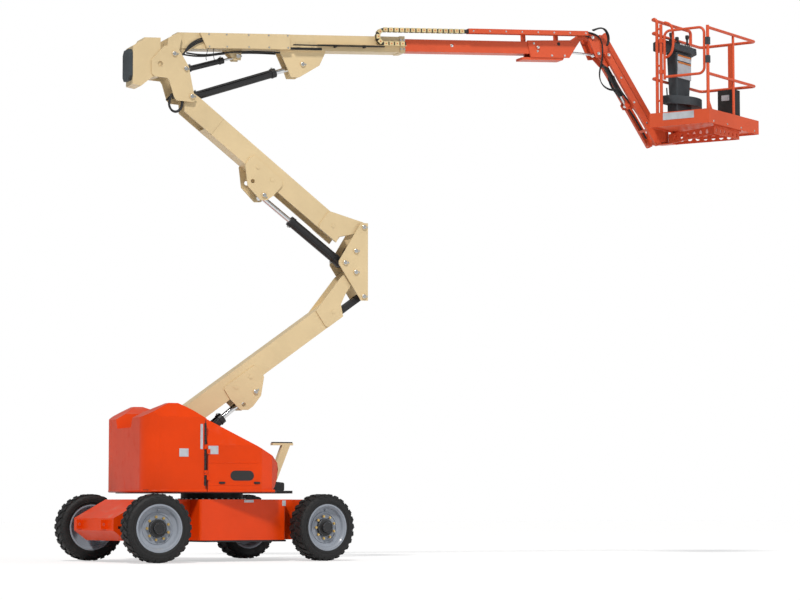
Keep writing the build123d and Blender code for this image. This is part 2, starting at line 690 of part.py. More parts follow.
# ---- side hoods -----------------------------------------------------------
HOOD_SIDE = [
    (HOOD_X[0], HOOD_Z),
    (HOOD_X[0], HOOD_TOP_Z),
    (274, 1198),
    (451, 1100),
    (537, 1033),
    (552, 966),
    (531, 873),
    (488, 792),
    (453, HOOD_Z),
]
HOOD_INNER = [
    (HOOD_X[0] + HOOD_WALL, HOOD_Z - 1),
    (HOOD_X[0] + HOOD_WALL, HOOD_TOP_Z - 2.2 * HOOD_WALL),
    (270, 1190),
    (445, 1092),
    (528, 1029),
    (544, 966),
    (524, 877),
    (482, 798),
    (447, HOOD_Z - 1),
]
for side_name, side in SIDES.items():
    outer = side * HOOD_HALF_WIDTH
    inner = side * HOOD_INNER_Y
    with BuildPart() as hood:
        side_plate(ROW, HOOD_SIDE, tuple(sorted((inner, outer))))
        # plan: the front corner is rounded
        with BuildSketch(Plane.XY.offset(HOOD_Z)) as plan:
            with BuildLine():
                Polyline(
                    (HOOD_X[0] - 1, side * (HOOD_INNER_Y - 1)),
                    (HOOD_X[1] + 1, side * (HOOD_INNER_Y - 1)),
                    (HOOD_X[1] + 1, side * (HOOD_HALF_WIDTH - 190)),
                    (430, side * (HOOD_HALF_WIDTH - 35)),
                    (300, side * (HOOD_HALF_WIDTH + 1)),
                    (HOOD_X[0] - 1, side * (HOOD_HALF_WIDTH + 1)),
                    close=True,
                )
            make_face()
        extrude(plan.sketch, amount=HOOD_TOP_Z - HOOD_Z + 1, mode=Mode.INTERSECT)
        # the upper outer edge leans inwards
        lean = [
            (side * (HOOD_INNER_Y - 1), HOOD_Z - 1),
            (side * (HOOD_INNER_Y - 1), HOOD_TOP_Z + 1),
            (side * (HOOD_HALF_WIDTH - 150), HOOD_TOP_Z + 1),
            (side * HOOD_HALF_WIDTH, 1215),
            (side * (HOOD_HALF_WIDTH + 1), HOOD_Z - 1),
        ]
        with BuildSketch(Plane.YZ.offset(HOOD_X[0] - 1)) as leaning:
            with BuildLine():
                Polyline(*lean, close=True)
            make_face()
        extrude(leaning.sketch, amount=HOOD_X[1] - HOOD_X[0] + 2, mode=Mode.INTERSECT)
        side_plate(
            ROW,
            HOOD_INNER,
            tuple(sorted((side * (HOOD_INNER_Y - 1), side * (HOOD_HALF_WIDTH - 165)))),
            mode=Mode.SUBTRACT,
        )
        block(
            ROW,
            (HOOD_X[0] + HOOD_WALL, 290),
            tuple(sorted((side * (HOOD_HALF_WIDTH - 170), side * (HOOD_HALF_WIDTH - HOOD_WALL)))),
            (HOOD_Z - 1, 1180),
            mode=Mode.SUBTRACT,
        )
        # the rear wall is open where it passes the batteries as the hood swings out
        block(
            ROW,
            (HOOD_X[0] - 1, HOOD_X[0] + HOOD_WALL + 1),
            tuple(sorted((side * (HOOD_INNER_Y - 1), side * (HOOD_HALF_WIDTH - 176)))),
            (HOOD_Z - 1, 1100),
            mode=Mode.SUBTRACT,
        )
        for z in HINGE_Z:
            hinge_leaf(side, 1, (z, z + HINGE_LENGTH))
    keep(hood, f"hood_{side_name}")

    with BuildPart() as battery_pack:
        y = tuple(sorted((side * (HOOD_INNER_Y + 25), side * (HOOD_HALF_WIDTH - 185))))
        block(ROW, (HOOD_X[0] + 40, 410), y, (DECK_Z[1] + SEAT, 1050), corner=12)
    keep(battery_pack, f"battery_pack_{side_name}")

with BuildPart() as boom_rest:
    rest = [
        (680, 752),
        (755, 752),
        (950, 1238),
        (985, 1238),
        (985, 1262),
        (748, 1262),
        (748, 1238),
        (860, 1238),
    ]
    side_plate(ROW, rest, (MAST_Y[1] + SEAT, MAST_Y[1] + 70))
keep(boom_rest, "boom_rest")

# ===========================================================================
# Tower
# ===========================================================================
LOWER_END = local(LOWER, LOWER_MAIN_PIN)
LOWER_BOTTOM = LOWER_TOP - ARM_DEPTH
EAR_Y = (ARM_HALF_WIDTH, ARM_HALF_WIDTH + EAR_THICK)
BRACKET_HOLE = 24.0
LOWER_BRACKET = [
    (915, -164),
    (887, -185),
    (880, -308),
    (909, -467),
    (980, -516),
    (1047, -517),
    (1189, -475),
    (1334, -330),
    (1343, -267),
    (1337, -205),
    (1315, -167),
]
UPPER_BRACKET = [
    (937, -35),
    (1336, -33),
    (1378, -86),
    (1369, -234),
    (1340, -324),
    (1286, -369),
    (1077, -341),
    (919, -182),
    (907, -82),
]
LOWER_LIFT_EYE = (1162.0, -404.0)
UPPER_LIFT_EYE = (1283.0, -302.0)
with BuildPart() as lower_arm:
    body_x = (30.0, 2470.0)
    block(LOWER, body_x, (-ARM_HALF_WIDTH, ARM_HALF_WIDTH), (LOWER_BOTTOM, LOWER_TOP))
    # channel open below, for the levelling link
    block(
        LOWER,
        (body_x[0] - 1, body_x[1] + 1),
        (-ARM_HALF_WIDTH + ARM_WALL, ARM_HALF_WIDTH - ARM_WALL),
        (LOWER_BOTTOM - 1, LOWER_TOP - ARM_WALL),
        mode=Mode.SUBTRACT,
    )
    foot = [(-75, -70), (-62, 48), (40, 62), (160, LOWER_TOP), (160, -300), (30, -300), (-50, -180)]
    side_plates(LOWER, foot, EAR_Y, corner=20)
    cross_bar(LOWER, 0, 0, PIN_RADIUS + 22, (-EAR_Y[1], EAR_Y[1]))
    cross_bar(LOWER, 0, 0, PIN_RADIUS, (-EAR_Y[1] - 1, EAR_Y[1] + 1), mode=Mode.SUBTRACT)
    ear = [
        (2240, LOWER_TOP),
        (2700, 52),
        (LOWER_END[0] - 10, LOWER_END[1] + 60),
        (LOWER_END[0] + 46, LOWER_END[1] + 30),
        (LOWER_END[0] + 40, LOWER_END[1] - 34),
        (2725, -92),
        (2620, -133),
        (2520, -190),
        (2465, LOWER_BOTTOM),
        (2262, LOWER_BOTTOM),
        (2234, -281),
    ]
    side_plates(LOWER, ear, EAR_Y)
    side_plates(LOWER, LOWER_BRACKET, EAR_Y, holes=[(971, -440, BRACKET_HOLE)])
    pin_heads(LOWER, LOWER_LIFT_EYE[0], LOWER_LIFT_EYE[1], EAR_Y[1] - 1)
    cross_bar(LOWER, LOWER_END[0], LOWER_END[1], PIN_RADIUS, (-130, 130), mode=Mode.SUBTRACT)
keep(lower_arm, "lower_arm")

LINK = pitched(LINK_BASE, degrees(atan2(LOWER_LINK_PIN[1] - LINK_BASE[1], LOWER_LINK_PIN[0] - LINK_BASE[0])))
LINK_LENGTH = hypot(LOWER_LINK_PIN[0] - LINK_BASE[0], LOWER_LINK_PIN[1] - LINK_BASE[1])
with BuildPart() as lower_link:
    for side in SIDES.values():
        y = sorted((side * (LINK_HALF_WIDTH - 16), side * LINK_HALF_WIDTH))
        side_plate(
            LINK,
            [(-38, -30), (-38, 34), (LINK_LENGTH + 38, 34), (LINK_LENGTH + 38, -30)],
            tuple(y),
            holes=[(0, 0, PIN_RADIUS), (LINK_LENGTH, 0, PIN_RADIUS)],
        )
    block(LINK, (60, LINK_LENGTH - 60), (-LINK_HALF_WIDTH + 1, LINK_HALF_WIDTH - 1), (24, 34))
keep(lower_link, "lower_link")

with BuildPart() as upright:
    plate = [
        (-34, UPRIGHT_HALF),
        (48, UPRIGHT_HALF),
        (48, -UPRIGHT_HALF),
        (-34, -UPRIGHT_HALF),
        (-291, TIP_PIN[1] - 16),
        (-291, TIP_PIN[1] + 16),
    ]
    side_plates(UPRIGHT, plate, UPRIGHT_PLATE_Y)
    pins = (
        (0, OUTER_PIN),
        (0, -OUTER_PIN),
        (-INNER_PIN[0], INNER_PIN[1]),
        (-INNER_PIN[0], -INNER_PIN[1]),
        (-TIP_PIN[0], TIP_PIN[1]),
    )
    for x, z in pins:
        cross_bar(UPRIGHT, x, z, PIN_RADIUS - PIN_GAP, (-UPRIGHT_PLATE_Y[0] - 1, UPRIGHT_PLATE_Y[0] + 1))
        pin_heads(UPRIGHT, x, z, UPRIGHT_PLATE_Y[1] - 1)
    # rear web between the plates
    block(UPRIGHT, (34, 46), (-UPRIGHT_PLATE_Y[0] - 1, UPRIGHT_PLATE_Y[0] + 1), (-230, 230))
keep(upright, "upright")

UPPER_END = local(UPPER, UPPER_MAIN_PIN)
UPPER_BOTTOM = UPPER_TOP - ARM_DEPTH
with BuildPart() as upper_arm:
    body_x = (330.0, 2235.0)
    block(UPPER, body_x, (-ARM_HALF_WIDTH, ARM_HALF_WIDTH), (UPPER_BOTTOM, UPPER_TOP))
    block(
        UPPER,
        (body_x[0] - 1, body_x[1] + 1),
        (-ARM_HALF_WIDTH + ARM_WALL, ARM_HALF_WIDTH - ARM_WALL),
        (UPPER_BOTTOM + ARM_WALL, UPPER_TOP - ARM_WALL),
        mode=Mode.SUBTRACT,
    )
    # slots that the lift cylinders swing into at the two ends of their travel
    block(UPPER, (body_x[0] - 1, 556), (-60, 60), (UPPER_TOP - ARM_WALL - 1, UPPER_TOP + 1), mode=Mode.SUBTRACT)
    block(UPPER, (1200, body_x[1] + 1), (-84, 84), (UPPER_BOTTOM - 1, UPPER_BOTTOM + ARM_WALL + 1), mode=Mode.SUBTRACT)
    fork = [
        (-48, 30),
        (-20, 50),
        (80, UPPER_TOP),
        (420, UPPER_TOP),
        (420, UPPER_BOTTOM),
        (40, UPPER_BOTTOM),
        (-48, -60),
    ]
    side_plates(UPPER, fork, (ARM_HALF_WIDTH - EAR_THICK, ARM_HALF_WIDTH + 4), corner=12)
    cross_bar(UPPER, 0, 0, PIN_RADIUS, (-130, 130), mode=Mode.SUBTRACT)
    ear = [
        (1985, UPPER_TOP),
        (2345, 205),
        (UPPER_END[0] + 36, UPPER_END[1] + 36),
        (UPPER_END[0] + 44, UPPER_END[1] - 14),
        (2338, 37),
        (2219, -104),
        (2237, UPPER_BOTTOM),
        (1990, UPPER_BOTTOM),
        (1966, -139),
        (1966, 30),
    ]
    side_plates(UPPER, ear, EAR_Y)
    side_plates(UPPER, UPPER_BRACKET, EAR_Y, holes=[(1090, -264, BRACKET_HOLE)])
    pin_heads(UPPER, UPPER_LIFT_EYE[0], UPPER_LIFT_EYE[1], EAR_Y[1] - 1)
    cross_bar(UPPER, UPPER_END[0], UPPER_END[1], PIN_RADIUS, (-130, 130), mode=Mode.SUBTRACT)
keep(upper_arm, "upper_arm")

# ---- boom head ------------------------------------------------------------
HEAD_OUTLINE = [
    (-117, 75),
    (-78, 84),
    (-68, 167),
    (24, 222),
    (62, 218),
    (82, 185),
    (54, 45),
    (162, -128),
    (225, -433),
    (232, -495),
    (214, -510),
    (29, -500),
    (0, -467),
    (-51, -298),
    (-73, -265),
    (-217, -257),
    (-249, -229),
    (-254, -82),
]
HEAD_PIN = (HEAD_PIVOT[0] - BOOM_PIVOT[0], HEAD_PIVOT[1] - BOOM_PIVOT[1])
LEVEL_PIN = (130.0, -153.0)
HEAD_HOLE = (-157.0, -117.0, 28.0)
with BuildPart() as boom_head:
    side_plates(HEAD, HEAD_OUTLINE, HEAD_PLATE_Y, holes=[HEAD_HOLE])
    # hollow rear box between the plates, open towards the boom
    rear = [
        (-455, 62),
        (-352, 124),
        (-331, 157),
        (-150, 165),
        (-150, -250),
        (-240, -262),
        (-363, -366),
        (-455, -350),
    ]
    side_plate(HEAD, rear, (-HEAD_PLATE_Y[0] - 1, HEAD_PLATE_Y[0] + 1))
    hollow = [(-440, 40), (-345, 100), (-325, 145), (-149, 153), (-149, -242), (-250, -250), (-355, -350), (-440, -335)]
    half = HEAD_PLATE_Y[0] - 8
    side_plate(HEAD, hollow, (-half, half), mode=Mode.SUBTRACT)
    # room for the boom's rear end as it swings up
    half = BOOM_HALF_WIDTH + RUN
    cross_bar(HEAD, 0, 0, BOOM_SWEEP, (-half, half), mode=Mode.SUBTRACT)
    block(HEAD, (-230, -140), (-half, half), (100, 170), mode=Mode.SUBTRACT)
    for (x, z), radius in (((0.0, 0.0), PIN_RADIUS), (LEVEL_PIN, SMALL_PIN), (HEAD_PIN, PIN_RADIUS)):
        cross_bar(HEAD, x, z, radius - PIN_GAP, (-HEAD_PLATE_Y[0] - 1, HEAD_PLATE_Y[0] + 1))
        pin_heads(HEAD, x, z, HEAD_PLATE_Y[1] - 1, radius=radius + 5)
keep(boom_head, "boom_head")

with BuildPart() as head_cover:
    with BuildSketch(placed(HEAD, Plane.YZ.offset(-495))) as face:
        with Locations((0, -137)):
            Rectangle(250, 334)
        chamfer(face.vertices(), 46)
    extrude(face.sketch, amount=40 - SEAT)
keep(head_cover, "head_cover")

# ---- main boom ------------------------------------------------------------
LIFT_EYE = (1480.0, -83.0)
LEVEL_EYE = (739.0, -5.0)
with BuildPart() as main_boom:
    block(BOOM, (BOOM_REAR_X, BOOM_END_X), (-BOOM_HALF_WIDTH, BOOM_HALF_WIDTH), BOOM_Z)
    block(
        BOOM,
        (BOOM_REAR_X - 1, BOOM_END_X + 1),
        (-BOOM_HALF_WIDTH + TUBE_WALL, BOOM_HALF_WIDTH - TUBE_WALL),
        (BOOM_Z[0] + TUBE_WALL, BOOM_Z[1] - TUBE_WALL),
        mode=Mode.SUBTRACT,
    )
    # pivot lugs under the rear end
    side_plates(BOOM, [(-45, -32), (-45, 160), (210, 160), (210, BOOM_Z[0]), (60, -32)], (72, 92), corner=16)
    cross_bar(BOOM, 0, 0, PIN_RADIUS, (-130, 130), mode=Mode.SUBTRACT)
    # lift cylinder bracket
    wall = BOOM_Z[0] + TUBE_WALL - 1
    lift_bracket = [(1215, wall), (1750, wall), (1750, 46), (1676, -94), (1436, -226), (1336, -226), (1310, -150)]
    side_plates(BOOM, lift_bracket, (62, 76))
    pin_heads(BOOM, LIFT_EYE[0], LIFT_EYE[1], 75)
    # levelling cylinder bracket
    level_bracket = [(600, wall), (790, wall), (775, -46), (700, -46)]
    side_plates(BOOM, level_bracket, (48, 60))
    pin_heads(BOOM, LEVEL_EYE[0], LEVEL_EYE[1], 59)
    # collar at the open end
    block(BOOM, (BOOM_END_X - 60, BOOM_END_X), (-BOOM_HALF_WIDTH - 6, BOOM_HALF_WIDTH + 6), (BOOM_Z[0] - 6, BOOM_Z[1] + 6))
    block(
        BOOM,
        (BOOM_END_X - 61, BOOM_END_X + 1),
        (-FLY_HALF_WIDTH - RUN, FLY_HALF_WIDTH + RUN),
        (FLY_Z[0] - RUN, FLY_Z[1] + RUN),
        mode=Mode.SUBTRACT,
    )
    # pads that the fly boom runs on, and the shelf of the cable carrier
    for z in ((FLY_Z[0] - RUN - 1, FLY_Z[0] - PIN_GAP), (FLY_Z[1] + PIN_GAP, FLY_Z[1] + RUN + 1)):
        block(BOOM, (BOOM_END_X - 58, BOOM_END_X - 2), (-50, 50), z)
    block(BOOM, (1640, BOOM_END_X), (CHAIN_Y[0] - 2, -BOOM_HALF_WIDTH + 1), (CARRIER_Z - 3 - PIN_GAP, CARRIER_Z - PIN_GAP))
keep(main_boom, "main_boom")

with BuildPart() as boom_side_cover:
    side_plate(
        BOOM,
        [(300, 234), (370, 70), (1325, 70), (1325, 234)],
        (-BOOM_HALF_WIDTH - 34, -BOOM_HALF_WIDTH - SEAT),
    )
keep(boom_side_cover, "boom_side_cover")

# cable carrier: a flat chain that folds back over the boom
with BuildPart() as cable_carrier:
    chain_top = TRAY_Z[1] - SHEET - RUN
    low_run = CARRIER_Z
    bend = (chain_top + low_run) / 2
    outer = (chain_top - low_run) / 2
    block(BOOM, (2430, 3460), CHAIN_Y, (chain_top - CHAIN_THICK, chain_top))
    block(BOOM, (2430, 2680), CHAIN_Y, (low_run, low_run + CHAIN_THICK))
    cross_bar(BOOM, 2430, bend, outer, CHAIN_Y)
    cross_bar(BOOM, 2430, bend, outer - CHAIN_THICK, CHAIN_Y, mode=Mode.SUBTRACT)
    hollow = (low_run + CHAIN_THICK, chain_top - CHAIN_THICK)
    block(BOOM, (2429, 2560), CHAIN_Y, hollow, mode=Mode.SUBTRACT)
keep(cable_carrier, "cable_carrier")

# ---- fly boom -------------------------------------------------------------
NOSE_AT = local(BOOM, NOSE_PIN)
SLAVE_BASE = (4326.0, 150.0)
with BuildPart() as fly_boom:
    block(BOOM, FLY_X, (-FLY_HALF_WIDTH, FLY_HALF_WIDTH), FLY_Z)
    block(
        BOOM,
        (FLY_X[0] - 1, FLY_X[1] + 1),
        (-FLY_HALF_WIDTH + 6, FLY_HALF_WIDTH - 6),
        (FLY_Z[0] + 6, FLY_Z[1] - 6),
        mode=Mode.SUBTRACT,
    )
    end_plate = [
        (4199, 228),
        (4237, 37),
        (4719, 36),
        (4800, 150),
        (4866, 236),
        (4960, 262),
        (5010, 318),
        (4940, 345),
        (4880, 300),
        (4780, 240),
    ]
    side_plates(BOOM, end_plate, (FLY_HALF_WIDTH, FLY_HALF_WIDTH + PLATE))
    block(BOOM, (4129, 4641), (-FLY_HALF_WIDTH - 2, FLY_HALF_WIDTH + 2), (10, 38))
    block(BOOM, (4239, 4700), (-FLY_HALF_WIDTH - 1, FLY_HALF_WIDTH + 1), (205, 217))
    cross_bar(BOOM, SLAVE_BASE[0], SLAVE_BASE[1], SMALL_PIN - PIN_GAP, (-FLY_HALF_WIDTH - 1, FLY_HALF_WIDTH + 1))
    pin_heads(BOOM, SLAVE_BASE[0], SLAVE_BASE[1], FLY_HALF_WIDTH + PLATE - 1, radius=20)
    side_plates(BOOM, [(4960, 262), (4985, 225), (5045, 245), (5055, 318), (5010, 318)], (FLY_HALF_WIDTH, FLY_HALF_WIDTH + PLATE))
    cross_bar(BOOM, NOSE_AT[0], NOSE_AT[1], PIN_RADIUS, (-130, 130), mode=Mode.SUBTRACT)
keep(fly_boom, "fly_boom")

with BuildPart() as fly_tray:
    block(BOOM, TRAY_X, TRAY_Y, TRAY_Z)
    block(
        BOOM,
        (TRAY_X[0] - 1, TRAY_X[1] + 1),
        (TRAY_Y[0] + SHEET, TRAY_Y[1] - SHEET),
        (TRAY_Z[0] - 1, TRAY_Z[1] - SHEET),
        mode=Mode.SUBTRACT,
    )
    # brackets down to the fly boom
    for x in (4150, 4560):
        block(BOOM, (x, x + 60), (TRAY_Y[1] - SHEET, -20), (TRAY_Z[1] - SHEET, TRAY_Z[1]))
        block(BOOM, (x, x + 60), (-26, -20), (FLY_Z[1] + SEAT, TRAY_Z[1]))
keep(fly_tray, "fly_tray")

# ===========================================================================
# Jib
# ===========================================================================
SLAVE_EYE = (75.0, -180.0)     # from the nose pin
JIB_LIFT_BASE = (21.0, -98.0)  # from the jib arm's pin
JIB_LIFT_EYE = (620.0, -60.0)  # in the jib arm's axes
JIB_AT = (JIB_PIN[0] - NOSE_PIN[0], JIB_PIN[1] - NOSE_PIN[1])
with BuildPart() as jib_base:
    outer_y = (FLY_HALF_WIDTH + PLATE + RUN, FLY_HALF_WIDTH + 2 * PLATE + RUN)
    side_plates(NOSE, [(-48, -19), (-30, 34), (50, 40), (92, 0), (124, -218), (50, -226)], outer_y, corner=8)
    # plates of the jib's pins, inside the jib beams
    inner_y = (JIB_BEAM_Y[0] - RUN - 14, JIB_BEAM_Y[0] - RUN)
    hub = [
        (JIB_AT[0] - 105, JIB_AT[1] + 40),
        (JIB_AT[0] - 45, JIB_AT[1] + JIB_RISE + 20),
        (JIB_AT[0] - 20, JIB_AT[1] + JIB_RISE + 42),
        (JIB_AT[0] + 25, JIB_AT[1] + JIB_RISE + 42),
        (JIB_AT[0] + 42, JIB_AT[1] + JIB_RISE + 20),
        (JIB_AT[0] + 42, JIB_AT[1] - 30),
        (JIB_AT[0] + 50, JIB_AT[1] - 110),
        (JIB_AT[0] + 20, JIB_AT[1] - 132),
        (JIB_AT[0] - 20, JIB_AT[1] - 110),
        (JIB_AT[0] - 105, JIB_AT[1] - 30),
    ]
    side_plates(NOSE, hub, inner_y)
    # spacers that join the two pairs of plates
    web = [(92, -30), (112, -30), (112, -205), (92, -205)]
    side_plates(NOSE, web, (inner_y[0] + 2, outer_y[1] - 1))
    cross_bar(NOSE, 0, 0, PIN_RADIUS - PIN_GAP, (-outer_y[1] + 1, outer_y[1] - 1))
    pin_heads(NOSE, 0, 0, outer_y[1] - 1, radius=24)
    cross_bar(NOSE, SLAVE_EYE[0], SLAVE_EYE[1], 10, (-outer_y[1] + 1, -outer_y[1] + 14))
    pin_heads(NOSE, SLAVE_EYE[0], SLAVE_EYE[1], outer_y[1] - 1, radius=20)
    # the lower pins are short, so that the link and the cylinder pass between them
    for side in SIDES.values():
        stub = tuple(sorted((side * inner_y[0], side * (JIB_BEAM_Y[1] + 8))))
        cross_bar(NOSE, JIB_AT[0], JIB_AT[1], PIN_RADIUS - PIN_GAP, stub)
    pin_heads(NOSE, JIB_AT[0], JIB_AT[1], JIB_BEAM_Y[1] + 3, proud=12)
    cross_bar(NOSE, JIB_AT[0], JIB_AT[1] + JIB_RISE, PIN_RADIUS - PIN_GAP, (-inner_y[1] + 1, inner_y[1] - 1))
    base = (JIB_AT[0] + JIB_LIFT_BASE[0], JIB_AT[1] + JIB_LIFT_BASE[1])
    cross_bar(NOSE, base[0], base[1], SMALL_PIN - PIN_GAP, (-inner_y[1] + 1, inner_y[1] - 1))
keep(jib_base, "jib_base")

with BuildPart() as jib_arm:
    beam = [
        (-40, -JIB_BEAM_DEPTH / 2),
        (-40, JIB_BEAM_DEPTH / 2),
        (JIB_LENGTH + 44, JIB_BEAM_DEPTH / 2),
        (JIB_LENGTH + 44, -JIB_BEAM_DEPTH / 2),
    ]
    ends = [(0, 0, PIN_RADIUS), (JIB_LENGTH, 0, PIN_RADIUS)]
    side_plates(JIB, beam, JIB_BEAM_Y, holes=ends, corner=20)
    inside = (-JIB_BEAM_Y[0] - 1, JIB_BEAM_Y[0] + 1)
    block(JIB, (JIB_LENGTH - 190, JIB_LENGTH - 160), inside, (-JIB_BEAM_DEPTH / 2 + 2, -JIB_BEAM_DEPTH / 2 + 20))
    # lugs and pin of the jib cylinder
    lug = [(545, -10), (695, -10), (650, -96), (590, -96)]
    side_plates(JIB, lug, (46, 58), corner=14)
    pin_heads(JIB, JIB_LIFT_EYE[0], JIB_LIFT_EYE[1], 57, radius=20, proud=10)
    side_plates(JIB, [(560, -34), (680, -34), (680, -12), (560, -12)], (57, JIB_BEAM_Y[0] + 1))
keep(jib_arm, "jib_arm")

with BuildPart() as jib_link:
    half = JIB_LINK_DEPTH / 2 - 3
    link = [(-34, -half), (-34, half), (JIB_LENGTH + 34, half), (JIB_LENGTH + 34, -half)]
    ends = [(0, 0, PIN_RADIUS), (JIB_LENGTH, 0, PIN_RADIUS)]
    side_plate(JIB_LINK, link, (-JIB_LINK_HALF_WIDTH, JIB_LINK_HALF_WIDTH), holes=ends, corner=22)
    half -= 5
    core = (-JIB_LINK_HALF_WIDTH + 5, JIB_LINK_HALF_WIDTH - 5)
    block(JIB_LINK, (60, JIB_LENGTH - 60), core, (-half, half), mode=Mode.SUBTRACT)
keep(jib_link, "jib_link")

END = pitched(JIB_END, 0)
ROTATOR_RADIUS = 72.0
ROTATOR_Z = (JIB_END[1] + 6, JIB_END[1] + 190)
with BuildPart() as jib_head:
    reach = ROTATOR_X - JIB_END[0]
    plate_y = (JIB_LINK_HALF_WIDTH + RUN + 4, JIB_BEAM_Y[0] - RUN)
    plate = [
        (-34, -30),
        (-34, JIB_RISE + 20),
        (-14, JIB_RISE + 38),
        (26, JIB_RISE + 38),
        (32, ROTATOR_Z[1] - JIB_END[1] - 4),
        (reach - 30, ROTATOR_Z[1] - JIB_END[1] - 4),
        (reach - 30, ROTATOR_Z[0] - JIB_END[1] + 4),
        (32, ROTATOR_Z[0] - JIB_END[1] + 4),
        (26, -34),
        (-14, -38),
    ]
    side_plates(END, plate, plate_y)
    for side in SIDES.values():
        stub = tuple(sorted((side * plate_y[0], side * (JIB_BEAM_Y[1] + 8))))
        cross_bar(END, 0, 0, PIN_RADIUS - PIN_GAP, stub)
    pin_heads(END, 0, 0, JIB_BEAM_Y[1] + 3, proud=12)
    cross_bar(END, 0, JIB_RISE, PIN_RADIUS - PIN_GAP, (-plate_y[1] + 1, plate_y[1] - 1))
    block(END, (44, 62), (-plate_y[0] - 1, plate_y[0] + 1), (16, JIB_RISE - 60))
    with BuildSketch(Plane.XY.offset(ROTATOR_Z[0])) as disc:
        with Locations((ROTATOR_X, 0)):
            Circle(ROTATOR_RADIUS)
    extrude(disc.sketch, amount=ROTATOR_Z[1] - ROTATOR_Z[0])
keep(jib_head, "jib_head")

# ===========================================================================
# Platform
# ===========================================================================
HALF_LENGTH = PLATFORM_LENGTH / 2
EDGE_Y = -PLATFORM_SETBACK
OUTER_Y = -PLATFORM_SETBACK - PLATFORM_DEPTH
with BuildPart() as platform_floor:
    block(PLATFORM, (-HALF_LENGTH, HALF_LENGTH), (OUTER_Y, EDGE_Y), (0, TOE_HEIGHT))
    block(
        PLATFORM,
        (-HALF_LENGTH + SHEET, HALF_LENGTH - SHEET),
        (OUTER_Y + SHEET, EDGE_Y - SHEET),
        (FLOOR_THICK, TOE_HEIGHT + 1),
        mode=Mode.SUBTRACT,
    )
    # underside: a tray of folded sheet
    block(
        PLATFORM,
        (-HALF_LENGTH + SHEET, HALF_LENGTH - SHEET),
        (OUTER_Y + SHEET, EDGE_Y - SHEET),
        (-1, FLOOR_THICK - SHEET),
        mode=Mode.SUBTRACT,
    )
keep(platform_floor, "platform_floor")

SUPPORT_BOTTOM = -120.0
SUPPORT_TOP = FLOOR_THICK - SHEET - SEAT
HUB_Y = -150.0
with BuildPart() as platform_support:
    # bracket that holds the rotator above and below
    # and ends round, clear of the jib's link
    for z in ((SUPPORT_BOTTOM, SUPPORT_BOTTOM + 16), (ROTATOR_Z[1] - PLATFORM_Z + RUN, ROTATOR_Z[1] - PLATFORM_Z + RUN + 14)):
        block(PLATFORM, (-50, 50), (HUB_Y - 12, 0), z)
        upright_bar(PLATFORM, 0, 0, z, 50)
    block(PLATFORM, (-66, 66), (HUB_Y - 12, HUB_Y + 2), (SUPPORT_BOTTOM, ROTATOR_Z[1] - PLATFORM_Z + RUN + 14))
    upright_bar(PLATFORM, 0, 0, (SUPPORT_BOTTOM + 10, ROTATOR_Z[0] - PLATFORM_Z - PIN_GAP), 40)
    upright_bar(PLATFORM, 0, 0, (ROTATOR_Z[1] - PLATFORM_Z + PIN_GAP, ROTATOR_Z[1] - PLATFORM_Z + RUN + 2), 40)
    # tapered arms under the floor, each a plate with a row of round holes
    for x_end, count in ((-370, 6), (240, 7)):
        start = Vector(-44 if x_end < 0 else 44, HUB_Y + 40, 0)
        finish = Vector(x_end, OUTER_Y + 66, 0)
        run = (finish - start).length
        heading = degrees(atan2(finish.Y - start.Y, finish.X - start.X))
        arm_axes = placed(PLATFORM, yawed((start.X, start.Y, 0), heading))
        arm = [(0, SUPPORT_BOTTOM), (0, -RUN), (run, -RUN), (run, -RUN - 89)]
        holes = [(70 + (run - 140) * (i + 0.5) / count, -RUN - 52, 27) for i in range(count)]
        side_plate(arm_axes, arm, (-4, 4), holes=holes)
    # beam along the platform's outer edge
    face = placed(PLATFORM, Plane.XZ.offset(-(OUTER_Y + 72)))
    with BuildSketch(face) as web:
        with Locations((-65, -RUN - 44)):
            Rectangle(618, 88)
        for index in range(6):
            with Locations((-65 + 98 * (index - 2.5), -RUN - 44)):
                Ellipse(16, 26, mode=Mode.SUBTRACT)
    extrude(web.sketch, amount=8)
    # the arms' and the beam's top flange reaches the floor
    block(PLATFORM, (-374, 244), (OUTER_Y + 40, OUTER_Y + 72), (-RUN - 1, SUPPORT_TOP))
    block(PLATFORM, (-60, 60), (HUB_Y - 90, HUB_Y + 2), (-RUN - 1, -RUN + 5))
    block(PLATFORM, (-60, 60), (HUB_Y - 90, HUB_Y - 40), (-RUN, SUPPORT_TOP))
keep(platform_support, "platform_support")

